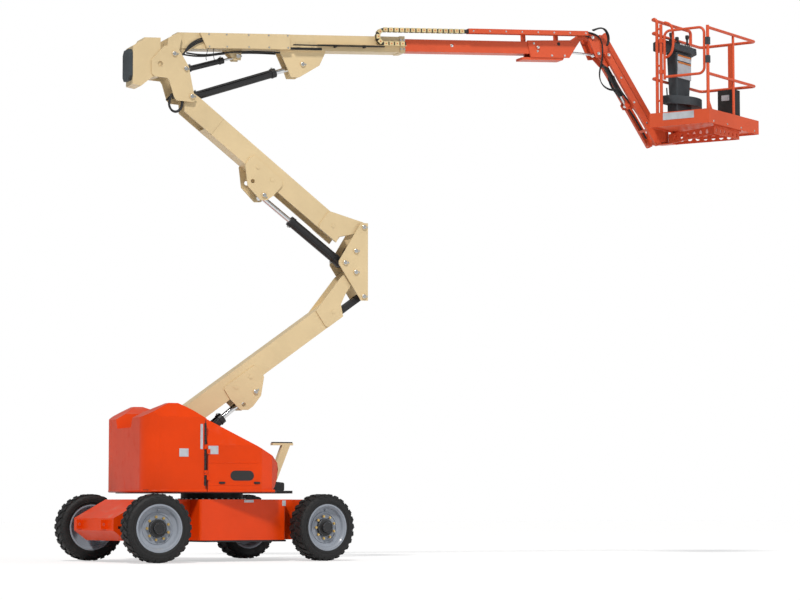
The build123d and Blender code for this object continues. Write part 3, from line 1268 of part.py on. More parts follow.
RAIL_Z = TOE_HEIGHT - 40
LEFT = -HALF_LENGTH + RAIL_INSET
RIGHT = HALF_LENGTH - RAIL_INSET
BACK = EDGE_Y - RAIL_INSET
FRONT = OUTER_Y + RAIL_INSET
CORNER_POST_Y = BACK - 66
GATE_POST_Y = BACK - 118
HIGH_TOP = RAIL_HEIGHT + 140
HIGH_END = LEFT + 930      # where the raised rail bends down
POST_RADIUS = RAIL_RADIUS - 1.5
with BuildPart() as platform_rails:
    top = RAIL_HEIGHT - RAIL_RADIUS
    floor = FLOOR_THICK + SEAT
    # post at the gate's latch, then the rails round to the corner by the gate's hinge
    rail([(LEFT, FRONT, floor), (LEFT, FRONT, top + 24)], RAIL_RADIUS + 1.5, 40, PLATFORM)
    for z in (top, MID_RAIL_HEIGHT):
        rail(
            [(LEFT, FRONT, z), (RIGHT, FRONT, z), (RIGHT, BACK, z), (LEFT, BACK, z), (LEFT, CORNER_POST_Y, z)],
            RAIL_RADIUS,
            48,
            PLATFORM,
        )
    rail([(30, FRONT, floor), (30, FRONT, top)], POST_RADIUS, 40, PLATFORM)
    rail([(LEFT, GATE_POST_Y, floor), (LEFT, GATE_POST_Y, top + 90)], RAIL_RADIUS + 1.5, 40, PLATFORM)
    # flat post in the middle of the far end
    block(PLATFORM, (RIGHT - 12, RIGHT + 12), (FRONT + 292, FRONT + 348), (floor, top))
    # raised rail on the boom's side
    rail(
        [(LEFT, CORNER_POST_Y, floor), (LEFT, CORNER_POST_Y, HIGH_TOP), (LEFT, BACK, HIGH_TOP), (HIGH_END, BACK, HIGH_TOP), (HIGH_END, BACK, top)],
        RAIL_RADIUS + 1.2,
        42,
        PLATFORM,
    )
    # bars that tie the two posts by the gate
    for z in (300, 700, top + 40):
        rail([(LEFT, CORNER_POST_Y, z), (LEFT, GATE_POST_Y, z)], RAIL_RADIUS - 5, 40, PLATFORM)
keep(platform_rails, "platform_rails")

GATE_Y = (FRONT + RAIL_RADIUS * 2 + 10, GATE_POST_Y - RAIL_RADIUS * 2 - 10)
GATE_Z = (566.0, 1090.0)
COLLAR_RADIUS = RAIL_RADIUS + 1.5 + PIN_GAP
with BuildPart() as platform_gate:
    rail(
        [
            (LEFT, GATE_Y[1], GATE_Z[0] - 30),
            (LEFT, GATE_Y[1], GATE_Z[1]),
            (LEFT, GATE_Y[0], GATE_Z[1]),
            (LEFT, GATE_Y[0], GATE_Z[0]),
            (LEFT, GATE_Y[1] - 2, GATE_Z[0]),
        ],
        RAIL_RADIUS - 2,
        70,
        PLATFORM,
    )
    # collars that turn on the hinge post
    for z in (GATE_Z[0] + 40, GATE_Z[1] - 130):
        upright_bar(PLATFORM, LEFT, GATE_POST_Y, (z, z + 46), COLLAR_RADIUS + 7)
        block(PLATFORM, (LEFT - 6, LEFT + 6), (GATE_Y[1], GATE_POST_Y - COLLAR_RADIUS), (z + 4, z + 42))
        upright_bar(PLATFORM, LEFT, GATE_POST_Y, (z - 1, z + 47), COLLAR_RADIUS, mode=Mode.SUBTRACT)
keep(platform_gate, "platform_gate")

CONSOLE_X = (-410.0, 125.0)
CONSOLE_BACK = BACK - 24
with BuildPart() as console:
    # sloped control panel
    panel = [(82, 905), (82, 1006), (-20, 1044), (-190, 984), (-196, 912), (-110, 882)]
    with BuildSketch(placed(PLATFORM, Plane.YZ.offset(CONSOLE_X[0]))) as section:
        with BuildLine():
            Polyline(*[(BACK + y, z) for y, z in panel], close=True)
        make_face()
        fillet(section.vertices(), 14)
    extrude(section.sketch, amount=CONSOLE_X[1] - CONSOLE_X[0])
    # document box, wider at its top
    with BuildSketch(placed(PLATFORM, Plane.XY.offset(380))) as foot:
        with Locations((CONSOLE_X[0] + 280, CONSOLE_BACK - 76)):
            RectangleRounded(300, 112, 20)
    with BuildSketch(placed(PLATFORM, Plane.XY.offset(890))) as head:
        with Locations((CONSOLE_X[0] + 280, CONSOLE_BACK - 80)):
            RectangleRounded(380, 132, 20)
    loft([foot.sketch.face(), head.sketch.face()])
    # tray with a round front, on a pedestal
    with BuildSketch(placed(PLATFORM, Plane.XY.offset(292))) as tray:
        with BuildLine():
            Line((CONSOLE_X[0], CONSOLE_BACK), (CONSOLE_X[0] + 730, CONSOLE_BACK))
            Line((CONSOLE_X[0] + 730, CONSOLE_BACK), (CONSOLE_X[0] + 730, CONSOLE_BACK - 90))
            ThreePointArc(
                (CONSOLE_X[0] + 730, CONSOLE_BACK - 90),
                (CONSOLE_X[0] + 365, CONSOLE_BACK - 262),
                (CONSOLE_X[0], CONSOLE_BACK - 90),
            )
            Line((CONSOLE_X[0], CONSOLE_BACK - 90), (CONSOLE_X[0], CONSOLE_BACK))
        make_face()
    extrude(tray.sketch, amount=96)
    with BuildSketch(placed(PLATFORM, Plane.XY.offset(310))) as hollow:
        with BuildLine():
            Line((CONSOLE_X[0] + 500, CONSOLE_BACK - 12), (CONSOLE_X[0] + 718, CONSOLE_BACK - 12))
            Line((CONSOLE_X[0] + 718, CONSOLE_BACK - 12), (CONSOLE_X[0] + 718, CONSOLE_BACK - 84))
            Line((CONSOLE_X[0] + 718, CONSOLE_BACK - 84), (CONSOLE_X[0] + 500, CONSOLE_BACK - 214))
            Line((CONSOLE_X[0] + 500, CONSOLE_BACK - 214), (CONSOLE_X[0] + 500, CONSOLE_BACK - 12))
        make_face()
    extrude(hollow.sketch, amount=80, mode=Mode.SUBTRACT)
    block(PLATFORM, (CONSOLE_X[0] + 90, CONSOLE_X[0] + 450), (CONSOLE_BACK - 150, CONSOLE_BACK - 20), (FLOOR_THICK + SEAT, 296), corner=16)
    # levers on the panel
    for x, height in ((60, 1105), (200, 1075), (445, 1130)):
        upright_bar(PLATFORM, CONSOLE_X[0] + x, BACK - 120, (995, height), 13)
keep(console, "console")

with BuildPart() as tool_box:
    block(PLATFORM, (RIGHT - 190, RIGHT - 30), (FRONT + 180, FRONT + 400), (FLOOR_THICK + SEAT, 520), corner=20)
keep(tool_box, "tool_box")

# ===========================================================================
# Cylinders: each barrel and rod in axes that run from its base pin to its eye
# ===========================================================================
LEVEL_BASE = (BOOM_PIVOT[0] + LEVEL_PIN[0], BOOM_PIVOT[1] + LEVEL_PIN[1])
JIB_BASE_AT = (JIB_PIN[0] + JIB_LIFT_BASE[0], JIB_PIN[1] + JIB_LIFT_BASE[1])
SLAVE_EYE_AT = (NOSE_PIN[0] + SLAVE_EYE[0], NOSE_PIN[1] + SLAVE_EYE[1])
# name: base pin, eye pin, length to the gland, barrel radius, rod radius,
# eye radius, half width of the base eye, half width of the rod's eye, rod's start
CYLINDERS = {
    "lower_lift": (LOWER_LIFT_BASE, row_point(LOWER, *LOWER_LIFT_EYE), 770, 55, 30, 42, 80, 76, 420),
    "upper_lift": (UPRIGHT_TIP, row_point(UPPER, *UPPER_LIFT_EYE), 745, 52, 28, 42, 80, 76, 400),
    "main_lift": (HEAD_PIVOT, row_point(BOOM, *LIFT_EYE), 1046, 46, 27, 42, 70, 50, 300),
    "level_master": (LEVEL_BASE, row_point(BOOM, *LEVEL_EYE), 485, 30, 14, 27, 44, 36, 150),
    "level_slave": (row_point(BOOM, *SLAVE_BASE), SLAVE_EYE_AT, 420, 27, 13, 24, 40, 36, 330),
    "jib_lift": (JIB_BASE_AT, row_point(JIB, *JIB_LIFT_EYE), 400, 27, 14, 26, 40, 36, 100),
}
for name, row in CYLINDERS.items():
    base, eye, gland, barrel_radius, rod_radius, eye_radius, base_half, eye_half, start = row
    length = hypot(eye[0] - base[0], eye[1] - base[1])
    axes = pitched(base, degrees(atan2(eye[1] - base[1], eye[0] - base[0])))
    with BuildPart() as barrel:
        long_bar(axes, (10, gland), barrel_radius)
        long_bar(axes, (gland - 45, gland), barrel_radius + 5)
        cross_bar(axes, 0, 0, eye_radius, (-base_half, base_half))
        long_bar(axes, (eye_radius + 12, gland + 1), rod_radius + PIN_GAP, mode=Mode.SUBTRACT)
        cross_bar(axes, 0, 0, PIN_RADIUS if eye_radius > 30 else SMALL_PIN, (-base_half - 1, base_half + 1), mode=Mode.SUBTRACT)
    keep(barrel, f"{name}_barrel")
    with BuildPart() as rod:
        long_bar(axes, (start, length - 10), rod_radius)
        cross_bar(axes, length, 0, eye_radius, (-eye_half, eye_half))
    keep(rod, f"{name}_rod")
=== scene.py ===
"""Finish and small parts of an electric articulating boom lift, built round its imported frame."""

import logging
import math
from collections.abc import Sequence
from dataclasses import dataclass, field
from enum import Enum

import bmesh
import bpy
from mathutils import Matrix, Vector


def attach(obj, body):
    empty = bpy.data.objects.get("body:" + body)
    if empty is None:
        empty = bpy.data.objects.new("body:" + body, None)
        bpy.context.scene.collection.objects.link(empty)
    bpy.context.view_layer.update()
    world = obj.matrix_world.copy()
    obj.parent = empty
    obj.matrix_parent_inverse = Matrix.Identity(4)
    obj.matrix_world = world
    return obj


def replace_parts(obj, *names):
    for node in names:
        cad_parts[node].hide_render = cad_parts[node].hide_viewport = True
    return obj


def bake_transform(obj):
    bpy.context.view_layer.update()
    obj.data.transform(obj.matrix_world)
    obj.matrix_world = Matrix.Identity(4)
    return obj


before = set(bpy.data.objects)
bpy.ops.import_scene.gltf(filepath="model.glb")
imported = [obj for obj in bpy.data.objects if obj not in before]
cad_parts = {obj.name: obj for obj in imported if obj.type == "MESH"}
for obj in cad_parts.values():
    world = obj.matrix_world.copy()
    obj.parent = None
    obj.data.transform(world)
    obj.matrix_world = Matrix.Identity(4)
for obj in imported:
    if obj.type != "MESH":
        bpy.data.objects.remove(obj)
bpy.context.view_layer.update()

LOG = logging.getLogger("boom_lift")
Span = tuple[float, float]
Colour = tuple[float, float, float]
Place = tuple[Vector, Vector, Vector]
SIDES = {"near": -1, "far": 1}


# ---- axes of the moving parts ---------------------------------------------
@dataclass(frozen=True)
class Axes:
    """Axes of one part of the machine: x along it, y across it, z square to both."""

    origin: Vector
    along: Vector
    across: Vector
    up: Vector

    def point(self, x: float, y: float, z: float) -> Vector:
        """The row's point for one given in these axes."""
        return self.origin + self.along * x + self.across * y + self.up * z

    def direction(self, x: float, y: float, z: float) -> Vector:
        """The row's direction for one given in these axes."""
        return self.along * x + self.across * y + self.up * z

    def at(self, spot: Span) -> Vector:
        """The row's point for an (x, z) in the middle plane."""
        return self.point(spot[0], 0, spot[1])

    def line(self, spots: Sequence[Span], y: float) -> list[Vector]:
        """The row's points for (x, z) spots at one distance across."""
        return [self.point(x, y, z) for x, z in spots]

    def moved(self, x: float, y: float, z: float) -> "Axes":
        """The same axes with their origin at another of their points."""
        return Axes(self.point(x, y, z), self.along, self.across, self.up)

    def turned(self, x: float, y: float, z: float) -> "Axes":
        """Axes at one of their points whose z runs across, as a pin does."""
        return Axes(self.point(x, y, z), self.along, self.up, self.across)


def pitched(x: float, z: float, angle: float) -> Axes:
    """Axes in the plane of the booms, raised by an angle.

    Args:
        x: The origin's place along the row.
        z: The origin's height.
        angle: Degrees by which the x axis points upwards.

    Returns:
        The axes, with y across the booms.
    """
    turn = math.radians(angle)
    along = Vector((math.cos(turn), 0, math.sin(turn)))
    up = Vector((-math.sin(turn), 0, math.cos(turn)))
    return Axes(Vector((x, 0, z)), along, Vector((0, 1, 0)), up)


def yawed(origin: Vector, angle: float) -> Axes:
    """Upright axes turned about z.

    Args:
        origin: The origin in the row's frame.
        angle: Degrees from the row's x axis.

    Returns:
        The turned axes.
    """
    turn = math.radians(angle)
    along = Vector((math.cos(turn), math.sin(turn), 0))
    across = Vector((-math.sin(turn), math.cos(turn), 0))
    return Axes(Vector(origin), along, across, Vector((0, 0, 1)))


CHASSIS_YAW = 14.0
STEER_REST = -12.0
ROW = yawed(Vector((0, 0, 0)), 0)
CHASSIS = yawed(Vector((0, 0, 0)), CHASSIS_YAW)
LOWER = pitched(-0.730, 1.454, 35.65)
UPRIGHT = pitched(1.685, 3.240, 0)
UPPER = pitched(-0.292, 4.947, -37.7)
HEAD = pitched(-0.492, 5.395, 0)
BOOM = pitched(-0.492, 5.395, 2.8)
NOSE = pitched(4.502, 5.912, 0)
JIB = pitched(4.697, 5.721, -57.05)
PLATFORM = yawed(Vector((5.453, 0, 4.856)), 33.1)
WHEEL_RADIUS = 0.355
DRIVE_X = 0.905
LOWER_EYE = (1.162, -0.404)
UPPER_EYE = (1.283, -0.302)
LIFT_EYE = (1.480, -0.083)
LEVEL_EYE = (0.739, -0.005)


def linked(name: str, data: bpy.types.ID) -> bpy.types.Object:
    """A new object of the scene that holds this data."""
    made = bpy.data.objects.new(name, data)
    bpy.context.scene.collection.objects.link(made)
    return made


def evaluated(holder: bpy.types.Object) -> bpy.types.Mesh:
    """An object's plain mesh, with its modifiers or its bevel applied."""
    graph = bpy.context.evaluated_depsgraph_get()
    return bpy.data.meshes.new_from_object(holder.evaluated_get(graph))


# ---- shader maths ---------------------------------------------------------
class Wire:
    """A shader socket that Python's arithmetic works on."""

    def __init__(self, tree: bpy.types.NodeTree, socket: bpy.types.NodeSocket) -> None:
        """Keeps the tree and the socket."""
        self.tree, self.socket = tree, socket

    def _math(self, operation: str, *values: "Wire | float") -> "Wire":
        """Adds a Math node.

        Args:
            operation: The node's operation.
            *values: Its inputs in order.

        Returns:
            The node's result.
        """
        node = self.tree.nodes.new("ShaderNodeMath")
        node.operation = operation
        for slot, value in zip(node.inputs, values):
            if isinstance(value, Wire):
                self.tree.links.new(value.socket, slot)
            else:
                slot.default_value = value
        return Wire(self.tree, node.outputs[0])

    def __add__(self, other: "Wire | float") -> "Wire":
        """Sum."""
        return self._math("ADD", self, other)

    __radd__ = __add__

    def __mul__(self, other: "Wire | float") -> "Wire":
        """Product."""
        return self._math("MULTIPLY", self, other)

    __rmul__ = __mul__

    def __sub__(self, other: "Wire | float") -> "Wire":
        """Difference."""
        return self._math("SUBTRACT", self, other)

    def __rsub__(self, other: float) -> "Wire":
        """Difference from a number."""
        return self._math("SUBTRACT", other, self)

    def above(self, low: float, high: float) -> "Wire":
        """0 below the low value, 1 above the high one, and smooth between.

        Args:
            low: Where the result leaves 0.
            high: Where it reaches 1.

        Returns:
            The mask.
        """
        node = self.tree.nodes.new("ShaderNodeMapRange")
        node.interpolation_type = "SMOOTHSTEP"
        self.tree.links.new(self.socket, node.inputs["Value"])
        node.inputs["From Min"].default_value = low
        node.inputs["From Max"].default_value = high
        return Wire(self.tree, node.outputs["Result"])


class Shader:
    """A material whose pattern follows the object's own coordinates."""

    def __init__(self, name: str) -> None:
        """Makes the material with its one Principled shader."""
        self.material = bpy.data.materials.new(name)
        self.material.use_nodes = True
        self.tree = self.material.node_tree
        self.surface = self.tree.nodes["Principled BSDF"]
        self.place = self.node("ShaderNodeTexCoord").outputs["Object"]

    def node(
        self, kind: str, settings: dict | None = None, sockets: dict | None = None
    ) -> bpy.types.Node:
        """Adds a node.

        Args:
            kind: The node's type.
            settings: Properties, set first.
            sockets: Values or links of its inputs by name or index.

        Returns:
            The node.
        """
        made = self.tree.nodes.new(kind)
        for key, value in (settings or {}).items():
            setattr(made, key, value)
        for key, value in (sockets or {}).items():
            if isinstance(value, Wire):
                value = value.socket
            if isinstance(value, bpy.types.NodeSocket):
                self.tree.links.new(value, made.inputs[key])
            else:
                made.inputs[key].default_value = value
        return made

    def noise(self, scale: float, detail: float = 4.0, stretch: Colour | None = None) -> Wire:
        """Cloudy pattern.

        Args:
            scale: Its scale per metre.
            detail: Its octaves.
            stretch: Scale of each axis, where it isn't even.

        Returns:
            The pattern, mostly from 0.3 to 0.7.
        """
        place = self.place
        if stretch:
            place = self.node("ShaderNodeMapping", None, {"Vector": place, "Scale": stretch}).outputs[0]
        sockets = {"Vector": place, "Scale": scale, "Detail": detail, "Roughness": 0.6}
        return Wire(self.tree, self.node("ShaderNodeTexNoise", None, sockets).outputs[0])

    def cells(self, scale: float) -> Wire:
        """Distance to the nearest of many scattered points."""
        sockets = {"Vector": self.place, "Scale": scale}
        return Wire(self.tree, self.node("ShaderNodeTexVoronoi", None, sockets).outputs["Distance"])

    def edges(self, radius: float) -> Wire:
        """1 on sharp edges and 0 on flat faces.

        Args:
            radius: How far the mask reaches from an edge.

        Returns:
            The mask.
        """
        bevel = self.node("ShaderNodeBevel", {"samples": 4}, {"Radius": radius}).outputs[0]
        flat = self.node("ShaderNodeNewGeometry").outputs["Normal"]
        dot = self.node("ShaderNodeVectorMath", {"operation": "DOT_PRODUCT"}, {0: bevel, 1: flat})
        return (1 - Wire(self.tree, dot.outputs["Value"])).above(0.02, 0.2)

    def facing_up(self) -> Wire:
        """How far the surface faces upwards, from 0 to 1."""
        normal = self.node("ShaderNodeNewGeometry").outputs["Normal"]
        split = self.node("ShaderNodeSeparateXYZ", None, {0: normal})
        return Wire(self.tree, split.outputs["Z"]).above(0.3, 1.0)

    def mix(self, factor: "Wire | float", a: "Wire | Colour", b: "Wire | Colour") -> Wire:
        """Mixes two colours.

        Args:
            factor: 0 for the first and 1 for the second.
            a: The first colour.
            b: The second colour.

        Returns:
            The mixed colour.
        """
        made = self.node("ShaderNodeMix", {"data_type": "RGBA"}, {0: factor})
        for slot, value in ((made.inputs[6], a), (made.inputs[7], b)):
            if isinstance(value, Wire):
                self.tree.links.new(value.socket, slot)
            else:
                slot.default_value = (*value, 1)
        return Wire(self.tree, made.outputs[2])

    def finish(self, height: Wire, depth: float, **inputs: "Wire | float") -> bpy.types.Material:
        """Sets the shader's inputs and its bump.

        Args:
            height: The bump's height map.
            depth: Its depth in metres.
            **inputs: The shader's inputs, by names with _ for each space.

        Returns:
            The finished material.
        """
        bump = self.node("ShaderNodeBump", None, {"Height": height, "Distance": depth, "Strength": 1.0})
        self.tree.links.new(bump.outputs[0], self.surface.inputs["Normal"])
        for key, value in inputs.items():
            slot = self.surface.inputs[key.replace("_", " ")]
            if isinstance(value, Wire):
                self.tree.links.new(value.socket, slot)
            else:
                slot.default_value = value
        return self.material


# ---- finishes -------------------------------------------------------------
def dimmed(colour: Colour, share: float) -> Colour:
    """A colour made darker."""
    return tuple(channel * share for channel in colour)


@dataclass(frozen=True)
class Paint:
    """Gloss paint on steel or moulded covers: soft mottling, dust on top, edges rubbed bare."""

    name: str
    colour: Colour
    bare: Colour
    roughness: float = 0.34
    wear: float = 0.7
    peel: float = 0.00005
    coat: float = 0.06
    coat_roughness: float = 0.10
    specular: float = 0.20

    def material(self) -> bpy.types.Material:
        """The paint's material."""
        made = Shader(self.name)
        cloud = made.noise(1.7, 5.0)
        grime = made.noise(9.0, 6.0).above(0.48, 0.78)
        colour = made.mix(cloud.above(0.25, 0.8), self.colour, dimmed(self.colour, 0.86))
        dust = made.facing_up() * grime * 0.35
        colour = made.mix(dust, colour, (0.42, 0.36, 0.29))
        rubbed = made.edges(0.004) * made.noise(55.0, 3.0).above(0.52, 0.62) * self.wear
        colour = made.mix(rubbed, colour, self.bare)
        rough = cloud * 0.12 + grime * 0.12 + rubbed * 0.3 + (self.roughness - 0.06)
        height = made.noise(420.0, 2.0) - rubbed * 2.0
        made.surface.inputs["Coat Weight"].default_value = self.coat
        made.surface.inputs["Coat Roughness"].default_value = self.coat_roughness
        made.surface.inputs["Specular IOR Level"].default_value = self.specular
        return made.finish(height, self.peel, Base_Color=colour, Roughness=rough)


@dataclass(frozen=True)
class Plastic:
    """Moulded plastic with a fine leather grain and pale scuffs on its edges."""

    name: str
    colour: Colour
    roughness: float = 0.55

    def material(self) -> bpy.types.Material:
        """The plastic's material."""
        made = Shader(self.name)
        cloud = made.noise(5.0, 4.0)
        scuff = made.edges(0.003) * made.noise(80.0, 3.0).above(0.45, 0.65) * 0.5
        colour = made.mix(cloud.above(0.3, 0.75), self.colour, dimmed(self.colour, 0.7))
        colour = made.mix(scuff, colour, (0.25, 0.26, 0.27))
        rough = cloud * 0.2 + (self.roughness - 0.1)
        return made.finish(made.cells(700.0), 0.00012, Base_Color=colour, Roughness=rough)


@dataclass(frozen=True)
class Rubber:
    """Worn rubber, dusty in patches, with fine pitting."""

    name: str
    colour: Colour
    dust: Colour = (0.10, 0.09, 0.08)

    def material(self) -> bpy.types.Material:
        """The rubber's material."""
        made = Shader(self.name)
        patch = made.noise(14.0, 5.0).above(0.45, 0.75)
        rub = made.edges(0.006)
        colour = made.mix(patch * 0.5 + rub * 0.35, self.colour, self.dust)
        rough = patch * 0.2 + 0.66
        height = made.noise(260.0, 4.0) + made.cells(90.0) * 0.4
        return made.finish(height, 0.0003, Base_Color=colour, Roughness=rough)


@dataclass(frozen=True)
class Metal:
    """Bare or plated metal with lengthwise polish marks and faint stains."""

    name: str
    colour: Colour
    roughness: float
    stain: float = 0.3

    def material(self) -> bpy.types.Material:
        """The metal's material."""
        made = Shader(self.name)
        stain = made.noise(22.0, 5.0).above(0.5, 0.8) * self.stain
        marks = made.noise(130.0, 3.0, (1.0, 1.0, 6.0))
        colour = made.mix(stain, self.colour, dimmed(self.colour, 0.45))
        rough = marks * 0.14 + stain * 0.35 + (self.roughness - 0.07)
        return made.finish(marks, 0.00004, Base_Color=colour, Roughness=rough, Metallic=1.0)


@dataclass(frozen=True)
class Casting:
    """Rough cast iron or thick black enamel, pitted, with rust in places."""

    name: str
    colour: Colour
    rust: Colour = (0.16, 0.06, 0.025)
    amount: float = 0.25

    def material(self) -> bpy.types.Material:
        """The casting's material."""
        made = Shader(self.name)
        patch = made.noise(11.0, 6.0).above(0.56, 0.78) * self.amount
        edge = made.edges(0.003) * made.noise(60.0, 3.0).above(0.48, 0.62) * 0.6
        colour = made.mix(patch, self.colour, self.rust)
        colour = made.mix(edge, colour, (0.30, 0.29, 0.28))
        rough = patch * 0.4 + made.noise(40.0, 3.0) * 0.2 + 0.38
        return made.finish(made.noise(190.0, 5.0), 0.00025, Base_Color=colour, Roughness=rough)


class Finish(Enum):
    """The machine's finishes: record slot and how each is made."""

    ORANGE = (
        "orange_paint",
        Paint("orange_cover_paint", (0.78, 0.054, 0.001), (0.30, 0.032, 0.008), wear=0.45),
    )
    CREAM = ("cream_paint", Paint("cream_boom_paint", (0.74, 0.575, 0.335), (0.30, 0.22, 0.14)))
    RED = ("red_paint", Paint("red_boom_paint", (0.71, 0.105, 0.040), (0.26, 0.05, 0.03)))
    RIM = ("rim_grey", Paint("wheel_rim_paint", (0.30, 0.33, 0.38), (0.12, 0.10, 0.09), wear=0.9))
    BLACK = ("black_steel", Casting("black_enamel", (0.012, 0.012, 0.013), amount=0.12))
    RUBBER = ("rubber", Rubber("tyre_rubber", (0.006, 0.006, 0.0065), (0.026, 0.025, 0.024)))
    CHROME = ("chrome_rod", Metal("polished_rod", (0.78, 0.79, 0.80), 0.14, 0.15))
    DARK = ("dark_plastic", Plastic("dark_grey_plastic", (0.040, 0.052, 0.060)))
    PLASTIC = ("black_plastic", Plastic("black_plastic", (0.014, 0.014, 0.015)))
    IRON = ("counterweight_iron", Casting("weight_iron", (0.05, 0.05, 0.052), amount=0.5))
    BATTERY = ("battery", Plastic("battery_case", (0.02, 0.021, 0.023), 0.48))
    PIN = ("chrome_rod", Metal("plated_pin", (0.62, 0.62, 0.60), 0.34, 0.5))
    GOLD = ("chrome_rod", Metal("passivated_nut", (0.60, 0.43, 0.16), 0.38, 0.5))
    LINK = ("cream_paint", Plastic("carrier_link_plastic", (0.76, 0.60, 0.30), 0.5))
    PALE = ("dark_plastic", Plastic("pale_plate", (0.55, 0.58, 0.62), 0.5))
    HOSE = ("rubber", Rubber("hose_rubber", (0.012, 0.012, 0.013), (0.05, 0.05, 0.05)))
    LENS = ("red_paint", Plastic("amber_lens", (0.70, 0.20, 0.02), 0.3))

    @property
    def slot(self) -> str:
        """The record's material slot."""
        return self.value[0]

    @property
    def material(self) -> bpy.types.Material:
        """The finish's one material, made when it is first used."""
        known = bpy.data.materials.get(self.value[1].name)
        return known or self.value[1].material()


def dress(finish: Finish, *nodes: str) -> None:
    """Gives carried-over nodes a finish.

    Args:
        finish: The finish.
        *nodes: The nodes' names.
    """
    for name in nodes:
        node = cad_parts[name]
        if not node.material_slots:
            node.data.materials.append(None)
        for slot in node.material_slots:
            slot.material = finish.material


# ---- meshes ---------------------------------------------------------------
class Mould:
    """Collects shapes of one finish that ride on one body, as a single piece."""

    def __init__(self, name: str, body: str, finish: Finish) -> None:
        """Starts an empty piece."""
        self.name, self.body, self.finish = name, body, finish
        self.mesh = bmesh.new()

    def block(self, axes: Axes, x: Span, y: Span, z: Span, bevel: float = 0.002) -> "Mould":
        """Adds a box with rounded edges.

        Args:
            axes: The axes that the spans are given in.
            x: Low and high along x.
            y: Low and high along y.
            z: Low and high along z.
            bevel: Radius of its edges, or 0.

        Returns:
            The mould.
        """
        corners = [axes.point(i, j, k) for i in x for j in y for k in z]
        verts = [self.mesh.verts.new(corner) for corner in corners]
        faces = [(0, 1, 3, 2), (4, 6, 7, 5), (0, 4, 5, 1), (2, 3, 7, 6), (0, 2, 6, 4), (1, 5, 7, 3)]
        made = [self.mesh.faces.new([verts[i] for i in face]) for face in faces]
        self._finish_solid(made, bevel)
        return self

    def plate(self, axes: Axes, outline: Sequence[Span], y: Span, bevel: float = 0.001) -> "Mould":
        """Adds a plate seen from the side.

        Args:
            axes: The axes that the outline is given in.
            outline: Its (x, z) points in order.
            y: Low and high across.
            bevel: Radius of its edges, or 0.

        Returns:
            The mould.
        """
        rings = [[self.mesh.verts.new(axes.point(a, depth, b)) for a, b in outline] for depth in y]
        count = len(outline)
        made = [self.mesh.faces.new(rings[0]), self.mesh.faces.new(rings[1][::-1])]
        for i in range(count):
            j = (i + 1) % count
            made.append(self.mesh.faces.new((rings[0][i], rings[0][j], rings[1][j], rings[1][i])))
        self._finish_solid(made, bevel)
        return self

    def lathe(self, axes: Axes, profile: Sequence[Span], sides: int = 32) -> "Mould":
        """Adds a turned shape.

        Args:
            axes: Its z axis is the axis that the shape turns about.
            profile: (radius, z) points from the axis at one end to the axis at the other, or
                round a hollow shape and back to the first.
            sides: Number of sides.

        Returns:
            The mould.
        """
        rings = []
        closed = profile[0] == profile[-1]
        for radius, z in profile[:-1] if closed else profile:
            if radius < 1e-6:
                rings.append([self.mesh.verts.new(axes.point(0, 0, z))])
                continue
            ring = []
            for i in range(sides):
                turn = 2 * math.pi * i / sides
                x, y = radius * math.cos(turn), radius * math.sin(turn)
                ring.append(self.mesh.verts.new(axes.point(x, y, z)))
            rings.append(ring)
        if closed:
            rings.append(rings[0])
        made = []
        for low, high in zip(rings, rings[1:]):
            for i in range(sides):
                j = (i + 1) % sides
                corners = [low[i % len(low)], low[j % len(low)]]
                corners += [high[j % len(high)], high[i % len(high)]]
                unique = list(dict.fromkeys(corners))
                if len(unique) > 2:
                    made.append(self.mesh.faces.new(unique))
        self._finish_solid(made, 0)
        return self

    def ring(self, axes: Axes, radius: Span, z: Span, sides: int = 48) -> "Mould":
        """Adds a flat ring about the axes' z axis.

        Args:
            axes: The ring's axes.
            radius: Its inner and outer radius.
            z: Its low and high face.
            sides: Number of sides.

        Returns:
            The mould.
        """
        made, loops = [], []
        angles = [2 * math.pi * i / sides for i in range(sides)]
        for r, k in ((radius[0], z[0]), (radius[1], z[0]), (radius[1], z[1]), (radius[0], z[1])):
            points = [axes.point(r * math.cos(t), r * math.sin(t), k) for t in angles]
            loops.append([self.mesh.verts.new(point) for point in points])
        for low, high in zip(loops, loops[1:] + loops[:1]):
            for i in range(sides):
                j = (i + 1) % sides
                made.append(self.mesh.faces.new((low[i], low[j], high[j], high[i])))
        self._finish_solid(made, 0)
        return self

    def tube(self, points: list[Vector], radius: float, sharp: bool = False) -> "Mould":
        """Adds a round tube or hose along points.

        Args:
            points: The line's control points.
            radius: The tube's radius.
            sharp: True where the line runs straight from point to point.

        Returns:
            The mould.
        """
        data = bpy.data.curves.new("line", "CURVE")
        data.dimensions = "3D"
        data.bevel_depth = radius
        data.bevel_resolution = 3
        data.use_fill_caps = True
        data.resolution_u = 8
        spline = data.splines.new("POLY" if sharp else "NURBS")
        spline.points.add(len(points) - 1)
        for slot, point in zip(spline.points, points):
            slot.co = (*point, 1)
        if not sharp:
            spline.order_u = min(4, len(points))
            spline.use_endpoint_u = True
        holder = linked("line", data)
        solid = evaluated(holder)
        self.mesh.from_mesh(solid)
        bpy.data.objects.remove(holder)
        bpy.data.meshes.remove(solid)
        return self

    def _finish_solid(self, faces: list, bevel: float) -> None:
        """Turns a solid's faces outwards and rounds its edges."""
        bmesh.ops.recalc_face_normals(self.mesh, faces=faces)
        if bevel:
            edges = list({edge for face in faces for edge in face.edges})
            bmesh.ops.bevel(
                self.mesh, geom=edges, offset=bevel, segments=2, affect="EDGES", clamp_overlap=True
            )

    def take(self, mesh: bpy.types.Mesh) -> "Mould":
        """Adds a ready mesh and removes it."""
        self.mesh.from_mesh(mesh)
        bpy.data.meshes.remove(mesh)
        return self

